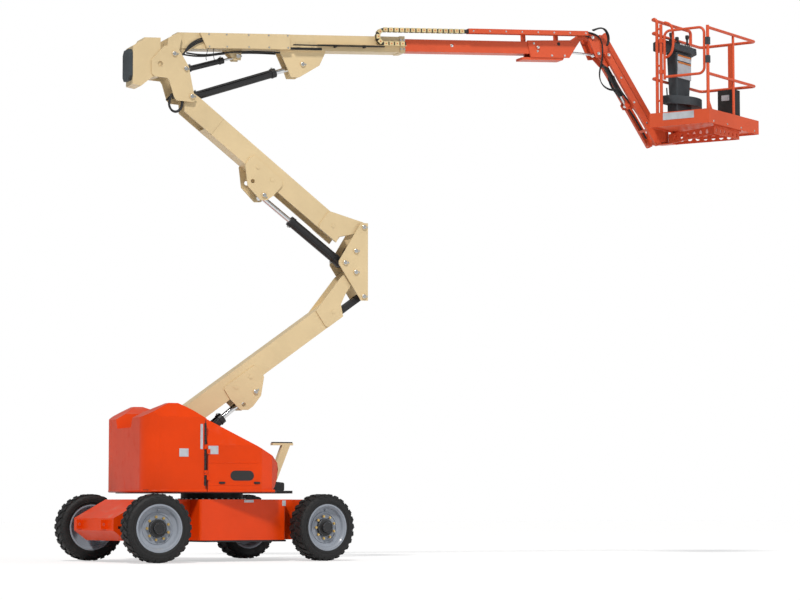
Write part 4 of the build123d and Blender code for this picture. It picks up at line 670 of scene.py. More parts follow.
    def cast(self, across: tuple[str, Vector, Vector] | None = None) -> bpy.types.Object:
        """Makes the piece.

        Args:
            across: A second body and two points. Only whether it is given is read; if it is, the piece
                keeps its place baked into its mesh and rides on no body.

        Returns:
            The piece, riding on its body unless across is given.
        """
        data = bpy.data.meshes.new(self.name)
        bmesh.ops.triangulate(self.mesh, faces=[f for f in self.mesh.faces if len(f.verts) > 4])
        self.mesh.to_mesh(data)
        self.mesh.free()
        data.materials.clear()
        data.materials.append(self.finish.material)
        for polygon in data.polygons:
            polygon.use_smooth = True
            polygon.material_index = 0
        data.set_sharp_from_angle(angle=math.radians(35))
        piece = linked(self.name, data)
        if across:
            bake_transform(piece)
        else:
            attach(piece, self.body)
        LOG.info("%s: %d faces on %s", self.name, len(data.polygons), self.body)
        return piece


# ---- repeated parts -------------------------------------------------------
class Shape(Enum):
    """What a repeated part looks like."""

    HEXAGON = 6
    ROUND = 20
    BAR = 4


@dataclass
class Repeats:
    """Geometry Nodes tree that sets one small part on every point of a mesh."""

    shape: Shape
    washer_sides: int = 20
    washer_depth: float = 0.003
    tree: bpy.types.NodeTree = field(init=False)
    sockets: dict[str, str] = field(init=False, default_factory=dict)

    def __post_init__(self) -> None:
        """Builds the tree."""
        name = f"repeat_{self.shape.name.lower()}"
        self.tree = bpy.data.node_groups.new(name, "GeometryNodeTree")
        face = self.tree.interface
        face.new_socket("Geometry", in_out="INPUT", socket_type="NodeSocketGeometry")
        face.new_socket("Geometry", in_out="OUTPUT", socket_type="NodeSocketGeometry")
        kinds = {"Width": "Float", "Length": "Float", "Height": "Float", "Finish": "Material"}
        for name, kind in kinds.items():
            made = face.new_socket(name, in_out="INPUT", socket_type=f"NodeSocket{kind}")
            self.sockets[name] = made.identifier
        given, result = self._node("NodeGroupInput"), self._node("NodeGroupOutput")
        solid = self._part(given)
        turned = self._turn()
        copies = self._node("GeometryNodeInstanceOnPoints")
        self._join(given.outputs["Geometry"], copies.inputs["Points"])
        self._join(solid, copies.inputs["Instance"])
        self._join(turned, copies.inputs["Rotation"])
        real = self._node("GeometryNodeRealizeInstances")
        self._join(copies.outputs[0], real.inputs[0])
        coated = self._node("GeometryNodeSetMaterial")
        self._join(real.outputs[0], coated.inputs["Geometry"])
        self._join(given.outputs["Finish"], coated.inputs["Material"])
        self._join(coated.outputs[0], result.inputs[0])

    def _node(self, kind: str) -> bpy.types.Node:
        """Adds a node."""
        return self.tree.nodes.new(kind)

    def _join(self, a: bpy.types.NodeSocket, b: bpy.types.NodeSocket) -> None:
        """Links two sockets."""
        self.tree.links.new(a, b)

    def _part(self, given: bpy.types.Node) -> bpy.types.NodeSocket:
        """The small part that is repeated.

        Args:
            given: The tree's input node.

        Returns:
            The part's geometry, centred on its point.
        """
        if self.shape is Shape.BAR:
            size = self._node("ShaderNodeCombineXYZ")
            for socket, name in zip(size.inputs, ("Length", "Width", "Height")):
                self._join(given.outputs[name], socket)
            cube = self._node("GeometryNodeMeshCube")
            self._join(size.outputs[0], cube.inputs["Size"])
            return cube.outputs["Mesh"]
        head = self._node("GeometryNodeMeshCylinder")
        head.inputs["Vertices"].default_value = self.shape.value
        washer = self._node("GeometryNodeMeshCylinder")
        washer.inputs["Vertices"].default_value = self.washer_sides
        washer.inputs["Depth"].default_value = self.washer_depth
        self._join(given.outputs["Width"], head.inputs["Radius"])
        self._join(given.outputs["Height"], head.inputs["Depth"])
        self._join(given.outputs["Length"], washer.inputs["Radius"])
        together = self._node("GeometryNodeJoinGeometry")
        for cylinder in (head, washer):
            self._join(cylinder.outputs["Mesh"], together.inputs[0])
        return together.outputs[0]

    def _turn(self) -> bpy.types.NodeSocket:
        """The rotation that each point's facing and along directions ask for."""
        last = None
        for name, axis, pivot in (("facing", "Z", "AUTO"), ("along", "X", "Z")):
            value = self._node("GeometryNodeInputNamedAttribute")
            value.data_type = "FLOAT_VECTOR"
            value.inputs[0].default_value = name
            align = self._node("FunctionNodeAlignRotationToVector")
            align.axis, align.pivot_axis = axis, pivot
            read = next(s for s in value.outputs if s.enabled and s.name == "Attribute")
            self._join(read, align.inputs["Vector"])
            if last:
                self._join(last, align.inputs["Rotation"])
            last = align.outputs[0]
        return last

    def made(self, places: list[Place], finish: Finish, *size: float) -> bpy.types.Mesh:
        """Sets the part on places.

        Args:
            places: A point, the direction the part faces, and its own x direction.
            finish: The finish it gets.
            *size: Head radius, washer radius and height, or a bar's width, length and height.

        Returns:
            A plain mesh of all the parts.
        """
        points = bpy.data.meshes.new("places")
        points.from_pydata([tuple(place[0]) for place in places], [], [])
        for index, name in ((1, "facing"), (2, "along")):
            values = points.attributes.new(name, "FLOAT_VECTOR", "POINT")
            for item, place in zip(values.data, places):
                item.vector = place[index]
        holder = linked("places", points)
        modifier = holder.modifiers.new("repeat", "NODES")
        modifier.node_group = self.tree
        inputs = zip(("Width", "Length", "Height", "Finish"), (*size, finish.material))
        for name, value in inputs:
            modifier[self.sockets[name]] = value
        solid = evaluated(holder)
        holder.modifiers.remove(modifier)
        bpy.data.objects.remove(holder)
        bpy.data.meshes.remove(points)
        return solid

    def fix(self, name: str, body: str, finish: Finish, places: list[Place], *size: float) -> None:
        """Makes the parts on these places a piece of their own.

        Args:
            name: The piece's name.
            body: The body it rides on.
            finish: Its finish.
            places: As for made.
            *size: As for made.
        """
        Mould(name, body, finish).take(self.made(places, finish, *size)).cast()


HEX = Repeats(Shape.HEXAGON)
STUD = Repeats(Shape.ROUND)
BAR = Repeats(Shape.BAR)


# ---- what the parts share -------------------------------------------------
def both_sides(axes: Axes, spots: Sequence[Span], y: float) -> list[Place]:
    """Places on both outer faces of a boom.

    Args:
        axes: The boom's axes.
        spots: (x, z) of each place.
        y: Distance of the faces from the middle.

    Returns:
        Places for Repeats, facing outwards.
    """
    return [
        (axes.point(x, side * y, z), axes.direction(0, side, 0), axes.along)
        for x, z in spots
        for side in SIDES.values()
    ]


def near_side(axes: Axes, spots: Sequence[Span], y: float) -> list[Place]:
    """Places on the near face of a boom, at y, that face outwards."""
    return [(axes.point(x, y, z), axes.across * -1, axes.along) for x, z in spots]


def outward(side: int, inner: float, outer: float) -> Span:
    """The span across between two distances from the middle, on one side."""
    low, high = sorted((side * inner, side * outer))
    return low, high


def turns(count: int) -> list[float]:
    """Angles of places spread evenly round a circle."""
    return [2 * math.pi * i / count for i in range(count)]


def named(stem: str) -> list[str]:
    """A stem joined with each side's name."""
    return [f"{stem}_{side}" for side in SIDES]


def plain_cap(side: int, radius: float, crown: float) -> list[Span]:
    """Profile of a flat pin cap.

    Args:
        side: The side it faces.
        radius: Its radius.
        crown: The radius of its flat top.

    Returns:
        (radius, z) points for a turned shape.
    """
    return [(0.0, -side * 0.003), (radius, -side * 0.003), (radius, side * 0.001),
            (crown, side * 0.003), (0.0, side * 0.003)]


def pins(body: str, axes: Axes, spots: Sequence[Span], y: float) -> None:
    """Dished pin caps, each with a keeper bolt.

    Args:
        body: The body that holds the pins.
        axes: Its axes.
        spots: (x, z) of the pins.
        y: Distance of the pins' outer faces from the middle.
    """
    profile = ((0.0, -0.004), (0.0225, -0.004), (0.0225, 0.001), (0.019, 0.0035),
               (0.008, 0.0035), (0.006, 0.0015), (0.0, 0.0015))
    keeper_off, keeper_in = 0.036, 0.012
    caps = Mould(f"{body}_pins", body, Finish.PIN)
    keepers = []
    for x, z in spots:
        for side in SIDES.values():
            caps.lathe(axes.turned(x, side * y, z), [(r, side * out) for r, out in profile])
        keepers += both_sides(axes, [(x + keeper_off, z)], y - keeper_in)
    caps.take(HEX.made(keepers, Finish.PIN, 0.007, 0.010, 0.008))
    caps.cast()


# ---- the machine's parts --------------------------------------------------
@dataclass
class Chassis:
    """Frame with its axles, swing bearing and belly plate."""

    top: float = 0.650
    half_width: float = 0.600
    nose_half: float = 0.405
    bearing_radius: float = 0.352
    bearing_bolts: int = 32
    ends: tuple[tuple[float, int], ...] = ((-1.440, -1), (1.270, 1))
    eye_out: float = 0.034
    eye_height: float = 0.392
    motor_fins: int = 9

    def dress(self) -> None:
        """Paints the frame and blackens what runs below it."""
        dress(Finish.ORANGE, "chassis_frame")
        dress(Finish.BLACK, "belly_plate", "steer_axle", "drive_axle", "swing_bearing")
        dress(Finish.BLACK, *named("knuckle"), "tie_rod")

    def build(self) -> None:
        """Bolts round the bearing, tie-down eyes, blank plates and drive motors."""
        radius = self.bearing_radius
        places = [
            (ROW.point(radius * math.cos(t), radius * math.sin(t), self.top), ROW.up, ROW.along)
            for t in turns(self.bearing_bolts)
        ]
        HEX.fix("bearing_bolts", "chassis", Finish.PIN, places, 0.013, 0.017, 0.024)
        self._trim()
        self._motors()

    def _trim(self) -> None:
        """Rings round the tie-down eyes, and blank plates."""
        trim = Mould("chassis_trim", "chassis", Finish.ORANGE)
        for x, way in self.ends:
            for y in (-0.25, 0.25):
                eye = CHASSIS.turned(x + way * self.eye_out, y, self.eye_height)
                trim.ring(eye, (0.017, 0.026), (-0.0145, 0.0145), 32)
        trim.cast()
        plates = Mould("chassis_plates", "chassis", Finish.PALE)
        for side in SIDES.values():
            y = outward(side, self.nose_half, self.nose_half + 0.0025)
            plates.block(CHASSIS, (-1.265, -1.165), y, (0.478, 0.526), 0.001)
            y = outward(side, self.half_width - 0.001, self.half_width + 0.002)
            plates.block(CHASSIS, (0.02, 0.14), y, (0.618, 0.645), 0.001)
            plates.block(CHASSIS, (0.50, 0.546), y, (0.582, 0.640), 0.001)
        plates.cast()

    def _motors(self) -> None:
        """Finned drive motors between the drive wheels."""
        motor = Mould("drive_motors", "chassis", Finish.BLACK)
        root, crest, pitch = 0.086, 0.098, 0.018
        for side in SIDES.values():
            profile = [(0.0, side * 0.27)]
            for i in range(self.motor_fins):
                z = side * (0.28 + pitch * i)
                profile += [(root, z), (crest, z + side * 0.003)]
                profile += [(crest, z + side * 0.008), (root, z + side * 0.011)]
            profile += [(0.0, side * 0.455)]
            motor.lathe(CHASSIS.turned(DRIVE_X, 0, WHEEL_RADIUS), profile, 40)
        motor.cast()


@dataclass
class Wheel:
    """One wheel: tread and side ribs on the tyre, nuts and hub on the rim."""

    name: str
    side: str
    centre: Axes = field(init=False)
    drive_half_track: float = 0.755
    kingpin: Span = (-1.105, 0.565)
    stub: float = 0.19
    disc: float = 0.041
    nuts: int = 9
    nut_circle: float = 0.118
    blocks: int = 27
    shell: tuple[Span, ...] = (
        (0.2345, 0.090), (0.2450, 0.106), (0.2620, 0.1125), (0.2900, 0.1180),
        (0.3120, 0.1165), (0.3300, 0.1060), (0.3400, 0.090),
    )
    hub: tuple[Span, ...] = (
        (0.0, 0.02), (0.086, 0.02), (0.094, 0.03), (0.094, 0.070), (0.088, 0.078), (0.062, 0.082),
        (0.060, 0.108), (0.055, 0.118), (0.046, 0.1195), (0.044, 0.116), (0.0, 0.116),
    )

    def __post_init__(self) -> None:
        """Finds the wheel's axes, y outwards."""
        way = SIDES[self.side]
        if self.name == "drive":
            angle = CHASSIS_YAW
            origin = CHASSIS.point(DRIVE_X, way * self.drive_half_track, WHEEL_RADIUS)
        else:
            turn = math.radians(STEER_REST)
            x = self.kingpin[0] - way * self.stub * math.sin(turn)
            y = way * (self.kingpin[1] + self.stub * math.cos(turn))
            angle = CHASSIS_YAW + STEER_REST
            origin = CHASSIS.point(x, y, WHEEL_RADIUS)
        self.centre = yawed(origin, angle + (180 if way < 0 else 0))

    @property
    def body(self) -> str:
        """The wheel's body."""
        return f"wheel_{self.name}_{self.side}"

    def dress(self) -> None:
        """Gives the rim its finish."""
        dress(Finish.RIM, f"rim_{self.name}_{self.side}")

    def build(self) -> None:
        """Tyre, side ribs, wheel nuts, hub, rim lips and valve."""
        out = self.centre.turned(0, 0, 0)
        self._tyre(out)
        ribs = Mould(f"{self.body}_side_ribs", self.body, Finish.RUBBER)
        for way in (-1, 1):
            for radius, width in ((0.2720, 0.0030), (0.2980, 0.0025)):
                y = outward(way, 0.1130, 0.1188)
                ribs.ring(out, (radius - width, radius + width), y, 72)
        ribs.cast()
        places = []
        for t in turns(self.nuts):
            x, z = self.nut_circle * math.cos(t), self.nut_circle * math.sin(t)
            spot = self.centre.point(x, self.disc + 0.022, z)
            places.append((spot, self.centre.across, self.centre.along))
        HEX.fix(f"{self.body}_nuts", self.body, Finish.GOLD, places, 0.0115, 0.0145, 0.024)
        Mould(f"{self.body}_hub", self.body, Finish.BLACK).lathe(out, self.hub, 48).cast()
        rim = Mould(f"{self.body}_rim_lips", self.body, Finish.RIM)
        rim.ring(out, (0.229, 0.2505), (0.1015, 0.1065), 72)
        rim.ring(out, (0.150, 0.163), (0.036, 0.049), 72)
        valve = [self.centre.point(0.0, 0.045, 0.178), self.centre.point(0.0, 0.082, 0.190)]
        rim.tube(valve, 0.006, True)
        rim.cast()

    def _tyre(self, out: Axes) -> None:
        """The tyre with its tread: two staggered rows of blocks, lugs on the shoulders.

        Args:
            out: The wheel's axes, z outwards.
        """
        tyre = Mould(f"{self.body}_tyre", self.body, Finish.RUBBER)
        profile = [(r, -y) for r, y in self.shell] + [(r, y) for r, y in reversed(self.shell)]
        bead, half = self.shell[0]
        tyre.lathe(out, profile + [(bead, 0.0), (bead, -half)], 72)
        stagger, slope, lean = 0.25, 0.35, 0.62
        blocks, lugs = [], []
        for row in (-1, 1):
            side = self.centre.across * row
            for i in range(self.blocks):
                turn = 2 * math.pi * (i + row * stagger) / self.blocks
                facing = self.centre.direction(math.sin(turn), 0, math.cos(turn))
                ahead = self.centre.direction(math.cos(turn), 0, -math.sin(turn))
                spot = self.centre.origin + facing * 0.3412 + side * 0.052
                blocks.append((spot, facing, (side + ahead * slope).normalized()))
                spot = self.centre.origin + facing * 0.3235 + side * 0.1070
                lugs.append((spot, (facing * lean + side).normalized(), ahead))
        tyre.take(BAR.made(blocks, Finish.RUBBER, 0.046, 0.092, 0.0205))
        tyre.take(BAR.made(lugs, Finish.RUBBER, 0.024, 0.040, 0.0140))
        name = f"tyre_{self.name}_{self.side}"
        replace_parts(tyre.cast(), name)


@dataclass
class Turntable:
    """Deck, rear cover, batteries and the boom's rest."""

    half_width: float = 0.735
    louvres: int = 13
    louvre_pitch: float = 0.049
    skirt_height: float = 0.738
    battery_rows: tuple[float, ...] = (-0.16, 0.03, 0.22)
    deck_rows: tuple[float, ...] = (-0.86, -0.60, -0.34, -0.08, 0.18, 0.44)

    def dress(self) -> None:
        """Gives the turntable's pieces their finishes."""
        dress(Finish.BLACK, "turntable_frame")
        dress(Finish.ORANGE, "rear_cover")
        dress(Finish.IRON, "counterweight")
        dress(Finish.BATTERY, *named("battery_pack"))
        dress(Finish.CREAM, "boom_rest")

    def build(self) -> None:
        """Louvres, cover skirt, seams, blank plates, batteries, the rest's pad and deck bolts."""
        self._vents()
        self._skirt()
        self._seams()
        self._batteries()
        rest = Mould("rest_pad", "turntable", Finish.RUBBER)
        rest.block(ROW, (0.752, 0.981), (0.171, 0.239), (1.262, 1.274), 0.004)
        rest.cast()
        deck = [
            (ROW.point(x, side * 0.205, 0.746), ROW.up, ROW.along)
            for x in self.deck_rows
            for side in SIDES.values()
        ]
        HEX.fix("deck_bolts", "turntable", Finish.PIN, deck, 0.012, 0.017, 0.016)

    def _vents(self) -> None:
        """Louvred strips between the rear cover and the hoods."""
        vents = Mould("cover_vents", "turntable", Finish.PLASTIC)
        places = []
        for side in SIDES.values():
            y = outward(side, self.half_width - 0.001, self.half_width + 0.004)
            vents.block(ROW, (-0.330, -0.306), y, (0.790, 1.440), 0.002)
            facing = (ROW.direction(0, side, 0) + ROW.up * -0.6).normalized()
            for i in range(self.louvres):
                z = 0.815 + i * self.louvre_pitch
                spot = ROW.point(-0.321, side * (self.half_width + 0.006), z)
                places.append((spot, facing, ROW.along))
        vents.take(BAR.made(places, Finish.PLASTIC, 0.022, 0.018, 0.003))
        vents.cast()

    def _skirt(self) -> None:
        """Rounded lower edge of the rear cover."""
        corner, radius = (-0.785, -0.545), 0.180
        edge = [(-0.300, -0.725), (-0.785, -0.725)]
        for t in (0.39, 0.79, 1.18, 1.57):
            edge.append((corner[0] - radius * math.sin(t), corner[1] - radius * math.cos(t)))
        edge += [(x, -y) for x, y in reversed(edge)]
        skirt = Mould("cover_skirt", "turntable", Finish.ORANGE)
        skirt.tube([ROW.point(x, y, self.skirt_height) for x, y in edge], 0.015, True)
        skirt.cast()

    def _seams(self) -> None:
        """Seals in the cover's gaps, and blank plates."""
        seams = Mould("cover_seams", "turntable", Finish.PLASTIC)
        for side in SIDES.values():
            seal = [(-0.315, 0.76), (-0.315, 1.0), (-0.315, 1.47)]
            seams.tube(ROW.line(seal, side * 0.7365), 0.0035, True)
        seams.block(ROW, (-0.973, 0.525), (-0.686, -0.6855), (0.7445, 0.7495), 0)
        seams.cast()
        plates = Mould("cover_plates", "turntable", Finish.PALE)
        for side in SIDES.values():
            y = outward(side, self.half_width, self.half_width + 0.0025)
            plates.block(ROW, (-0.60, -0.50), y, (1.09, 1.175), 0.001)
            plates.block(ROW, (-0.372, -0.344), y, (1.17, 1.43), 0.001)
        plates.cast()

    def _batteries(self) -> None:
        """Vent caps and terminal posts."""
        caps, posts = [], []
        for side in SIDES.values():
            for x in self.battery_rows:
                for j in (-1, 0, 1):
                    caps.append((ROW.point(x + j * 0.048, side * 0.40, 1.052), ROW.up, ROW.along))
                posts.append((ROW.point(x, side * 0.32, 1.054), ROW.up, ROW.along))
        STUD.fix("battery_caps", "turntable", Finish.BATTERY, caps, 0.016, 0.019, 0.010)
        HEX.fix("battery_posts", "turntable", Finish.PIN, posts, 0.011, 0.016, 0.018)


@dataclass
class Hoods:
    """The two hinged side hoods."""

    half_width: float = 0.735
    creases: tuple[tuple[Span, ...], ...] = (
        ((-0.284, 1.029), (-0.05, 1.029), (0.27, 1.029)),
        ((-0.284, 0.800), (0.0, 0.800), (0.27, 0.800)),
    )
    rim: tuple[Span, ...] = ((-0.290, 0.738), (0.0, 0.738), (0.45, 0.738))
    seal: tuple[Span, ...] = ((-0.287, 0.754), (-0.287, 1.205))
    latches: tuple[Span, ...] = ((-0.134, 0.822), (0.250, 0.822))
    badge_ends: Span = (0.165, 0.010)
    badge_height: float = 0.897
    badge_radius: float = 0.052

    def dress(self) -> None:
        """Paints the hoods."""
        dress(Finish.ORANGE, *named("hood"))

    def build(self) -> None:
        """Pressed creases, latches, edge seals, a blank plate and a blank badge."""
        for name, side in SIDES.items():
            body = f"hood_{name}"
            folds = Mould(f"{body}_creases", body, Finish.ORANGE)
            for line in self.creases:
                folds.tube(ROW.line(line, side * (self.half_width - 0.0015)), 0.0045, True)
            folds.tube(ROW.line(self.rim, side * 0.725), 0.015, True)
            folds.cast()
            self._latches(body, side)
            plate = Mould(f"{body}_plate", body, Finish.PALE)
            y = outward(side, self.half_width - 0.001, self.half_width + 0.0015)
            plate.block(ROW, (-0.285, -0.175), y, (1.118, 1.205), 0.001)
            plate.cast()
            self._badge(body, side)

    def _latches(self, body: str, side: int) -> None:
        """Recessed latches with their grips, and the seal on the rear edge.

        Args:
            body: The hood's body.
            side: The side it is on.
        """
        latch = Mould(f"{body}_latches", body, Finish.PLASTIC)
        for x, z in self.latches:
            y = outward(side, self.half_width - 0.002, self.half_width + 0.009)
            latch.block(ROW, (x - 0.034, x + 0.034), y, (z - 0.011, z + 0.011), 0.004)
            y = outward(side, self.half_width + 0.006, self.half_width + 0.013)
            latch.block(ROW, (x - 0.022, x + 0.010), y, (z - 0.009, z + 0.009), 0.003)
        latch.tube(ROW.line(self.seal, side * (self.half_width - 0.003)), 0.004, True)
        latch.cast()

    def _badge(self, body: str, side: int) -> None:
        """A blank badge with round ends.

        Args:
            body: The hood's body.
            side: The side it is on.
        """
        outline = []
        for x, way in zip(self.badge_ends, (1, -1)):
            for k in range(9):
                turn = math.pi * k / 8
                reach = way * self.badge_radius
                outline.append((x + reach * math.sin(turn), self.badge_height + reach * math.cos(turn)))
        badge = Mould(f"{body}_badge", body, Finish.PLASTIC)
        badge.plate(ROW, outline, outward(side, self.half_width - 0.001, self.half_width + 0.003))
        badge.cast()


@dataclass
class Tower:
    """The two lower booms with the upright that joins them."""

    face: float = 0.114
    weld_face: float = 0.101
    upright_pins: tuple[Span, ...] = (
        (0, 0.380), (0, -0.380), (-0.094, 0.116), (-0.094, -0.116), (-0.219, -0.015),
    )
    lower_plugs: tuple[Span, ...] = ((1.209, -0.242), (1.008, -0.239), (2.40, -0.205))
    upper_plugs: tuple[Span, ...] = ((1.042, -0.105), (1.249, -0.107), (2.100, -0.048))
    lower_welds: tuple[tuple[Span, ...], ...] = (
        ((0.915, -0.164), (0.887, -0.185), (0.880, -0.308)),
        ((1.315, -0.167), (1.337, -0.205)),
        ((2.240, -0.084), (2.234, -0.281), (2.262, -0.312)),
        ((0.160, -0.086), (0.160, -0.298)),
    )
    upper_welds: tuple[tuple[Span, ...], ...] = (
        ((0.907, -0.082), (0.937, -0.035), (1.336, -0.033), (1.378, -0.086)),
        ((1.985, 0.056), (1.966, 0.030), (1.966, -0.139), (1.990, -0.168)),
        ((0.420, 0.056), (0.420, -0.168)),
    )
    hose_line: tuple[Span, ...] = (
        (-0.125, -0.065), (-0.150, -0.020), (-0.160, 0.050), (-0.150, 0.110), (-0.120, 0.150),
    )

    def dress(self) -> None:
        """Paints the tower."""
        dress(Finish.CREAM, "lower_arm", "upright", "upper_arm")
        dress(Finish.BLACK, "lower_link")

    def build(self) -> None:
        """Pins, plugs, weld beads and the hoses that cross the upright."""
        pins("lower_arm", LOWER, [LOWER_EYE], 0.1275)
        pins("upper_arm", UPPER, [UPPER_EYE], 0.1275)
        pins("upright", UPRIGHT, self.upright_pins, 0.158)
        arms = (("lower_arm", LOWER, self.lower_plugs), ("upper_arm", UPPER, self.upper_plugs))
        for body, axes, spots in arms:
            places = both_sides(axes, spots, self.face + 0.001)
            STUD.fix(f"{body}_plugs", body, Finish.CREAM, places, 0.020, 0.026, 0.006)
        arms = (("lower_arm", LOWER, self.lower_welds), ("upper_arm", UPPER, self.upper_welds))
        for body, axes, lines in arms:
            welds = Mould(f"{body}_welds", body, Finish.CREAM)
            for side in SIDES.values():
                for line in lines:
                    welds.tube(axes.line(line, side * self.weld_face), 0.0038, True)
            welds.cast()
        loop = Mould("upright_hoses", "upright", Finish.HOSE)
        for i, y in enumerate((-0.066, -0.022, 0.022, 0.066)):
            line = [(x - 0.004 * i, z + 0.004 * i) for x, z in self.hose_line]
            loop.tube(UPRIGHT.line(line, y), 0.009)
        loop.cast()


@dataclass
class BoomHead:
    """The head that carries the main boom."""

    pins: tuple[Span, ...] = ((0.0, 0.0), (0.130, -0.153), (0.200, -0.448))
    ribs: int = 6
    rib_pitch: float = 0.050
    hole: Span = (-0.157, -0.117)
    hose_line: tuple[Span, ...] = (
        (0.02, -0.470), (0.10, -0.390), (0.165, -0.290), (0.150, -0.220), (0.070, -0.160), (0.01, -0.110),
    )
    loop_line: tuple[Span, ...] = (
        (-0.02, -0.440), (-0.055, -0.520), (-0.045, -0.590), (0.010, -0.632),
        (0.075, -0.610), (0.105, -0.545), (0.095, -0.500),
    )

    def dress(self) -> None:
        """Paints the head and its rear cover."""
        dress(Finish.CREAM, "boom_head")
        dress(Finish.DARK, "head_cover")

    def build(self) -> None:
        """Pins, cover ribs, rims of the holes, and hoses through and below the head."""
        pins("boom_head", HEAD, self.pins, 0.1535)
        cover = Mould("head_cover_ribs", "boom_head", Finish.PLASTIC)
        for i in range(self.ribs):
            z = -0.262 + i * self.rib_pitch
            cover.block(HEAD, (-0.4945, -0.489), (-0.086, 0.086), (z, z + 0.012), 0.002)
        cover.cast()
        rim = Mould("head_hole_rims", "boom_head", Finish.CREAM)
        for side in SIDES.values():
            ring = HEAD.turned(self.hole[0], side * 0.140, self.hole[1])
            rim.ring(ring, (0.028, 0.034), (-0.002, 0.003), 40)
        rim.cast()
        hoses = Mould("head_hoses", "boom_head", Finish.HOSE)
        for i, y in enumerate((-0.085, -0.050, 0.055, 0.090)):
            hoses.tube(HEAD.line([(x - 0.012 * i, z) for x, z in self.hose_line], y), 0.0095)
        hoses.cast()
        loop = Mould("head_hose_loop", "boom_head", Finish.HOSE)
        for i, y in enumerate((-0.118, -0.094, -0.070)):
            line = [(x + 0.006 * i, z + 0.006 * i) for x, z in self.loop_line]
            loop.tube(HEAD.line(line, y), 0.0115)
        loop.cast(("upper_arm", HEAD.point(-0.02, 0, -0.460), HEAD.point(0.08, 0, -0.62)))


@dataclass
class MainBoom:
    """Main boom with its side cover and cable carrier."""

    link_pitch: float = 0.066
    link_start: float = 2.440
    upper_run: tuple[int, float] = (15, 0.305)
    lower_run: tuple[int, float] = (4, 0.150)
    fold: Span = (2.430, 0.2275)
    fold_radius: float = 0.0775
    link_faces: Span = (-0.1655, -0.1105)
    plugs: tuple[Span, ...] = ((1.427, 0.136), (1.590, 0.139))
    clamps: tuple[float, ...] = (1.852, 2.195)
    cover_screws: tuple[float, ...] = (0.40, 0.60, 0.85, 1.08, 1.30)
    under_line: tuple[Span, ...] = (
        (0.16, 0.020), (0.34, -0.012), (0.54, 0.026), (0.74, 0.042), (1.00, 0.050), (1.22, 0.040),
    )
    carrier_line: tuple[Span, ...] = ((1.36, 0.120), (1.75, 0.116), (2.15, 0.116), (2.43, 0.116))

    def dress(self) -> None:
        """Paints the boom, its side cover and the carrier."""
        dress(Finish.CREAM, "main_boom", "boom_side_cover")
        dress(Finish.PLASTIC, "cable_carrier")

    def build(self) -> None:
        """Pins, plugs, the guard strip, cover screws, collar bolts, carrier links and hoses."""
        pins("main_boom", BOOM, [LIFT_EYE, LEVEL_EYE], 0.0885)
        places = near_side(BOOM, self.plugs, -0.1005)
        STUD.fix("boom_plugs", "main_boom", Finish.CREAM, places, 0.030, 0.036, 0.007)
        guard = Mould("boom_guard_strip", "main_boom", Finish.PLASTIC)
        guard.block(BOOM, (1.330, 1.704), (-0.104, -0.0995), (0.071, 0.098), 0.002)
        for x in self.clamps:
            guard.block(BOOM, (x - 0.012, x + 0.012), (-0.158, -0.100), (0.100, 0.122), 0.003)
        guard.cast()
        spots = [(x, z) for x in self.cover_screws for z in (0.087, 0.218)]
        places = near_side(BOOM, spots, -0.1345)
        STUD.fix("side_cover_screws", "main_boom", Finish.PIN, places, 0.006, 0.0095, 0.007)
        collar = both_sides(BOOM, [(x, z) for x in (2.640, 2.680) for z in (0.100, 0.200)], 0.107)
        HEX.fix("collar_bolts", "main_boom", Finish.PIN, collar, 0.009, 0.013, 0.012)
        self._links()
        self._hoses()

    def _links(self) -> None:
        """Plates of the cable carrier's links along its runs and round its fold."""
        places = []
        for count, z in (self.upper_run, self.lower_run):
            places += [(self.link_start + i * self.link_pitch, z, 0.0) for i in range(count)]
        for i in (1, 2, 3):
            turn = math.pi / 2 + math.pi * i / 4
            x = self.fold[0] + self.fold_radius * math.cos(turn)
            z = self.fold[1] + self.fold_radius * math.sin(turn)
            places.append((x, z, turn - math.pi / 2))
        plates, heads = [], []
        for x, z, turn in places:
            along = BOOM.direction(math.cos(turn), 0, math.sin(turn))
            for y in self.link_faces:
                plates.append((BOOM.point(x, y, z), BOOM.across * -1, along))
            heads.append((BOOM.point(x, -0.1665, z), BOOM.across * -1, along))
        length = self.link_pitch * 0.76
        BAR.fix("carrier_links", "cable_carrier", Finish.LINK, plates, 0.046, length, 0.007)
        STUD.fix("carrier_pins", "cable_carrier", Finish.RED, heads, 0.0065, 0.0085, 0.010)

    def _hoses(self) -> None:
        """Hoses under the boom, from the head into it, and on to the carrier."""
        hoses = Mould("boom_hoses", "main_boom", Finish.HOSE)
        for i, y in enumerate((-0.080, -0.062, 0.068)):
            hoses.tube(BOOM.line([(x, z + 0.004 * i) for x, z in self.under_line], y), 0.009)
        for i in range(3):
            line = [(0.09 + 0.01 * i, -0.01), (0.15, 0.045 + 0.02 * i), (0.235, 0.105 + 0.02 * i),
                    (0.33, 0.155 + 0.018 * i), (0.46, 0.165)]
            hoses.tube(BOOM.line(line, -0.110 - 0.002 * i), 0.0075)
        for i in range(2):
            line = [(0.40 + 0.06 * i, 0.10), (0.385 + 0.06 * i, 0.03),
                    (0.35 + 0.10 * i, -0.03), (0.37 + 0.09 * i, -0.060)]
            hoses.tube(BOOM.line(line, -0.106), 0.0035)
        for i in range(3):
            hoses.tube(BOOM.line(self.carrier_line, -0.126 - 0.013 * i), 0.0055)
        hoses.cast()


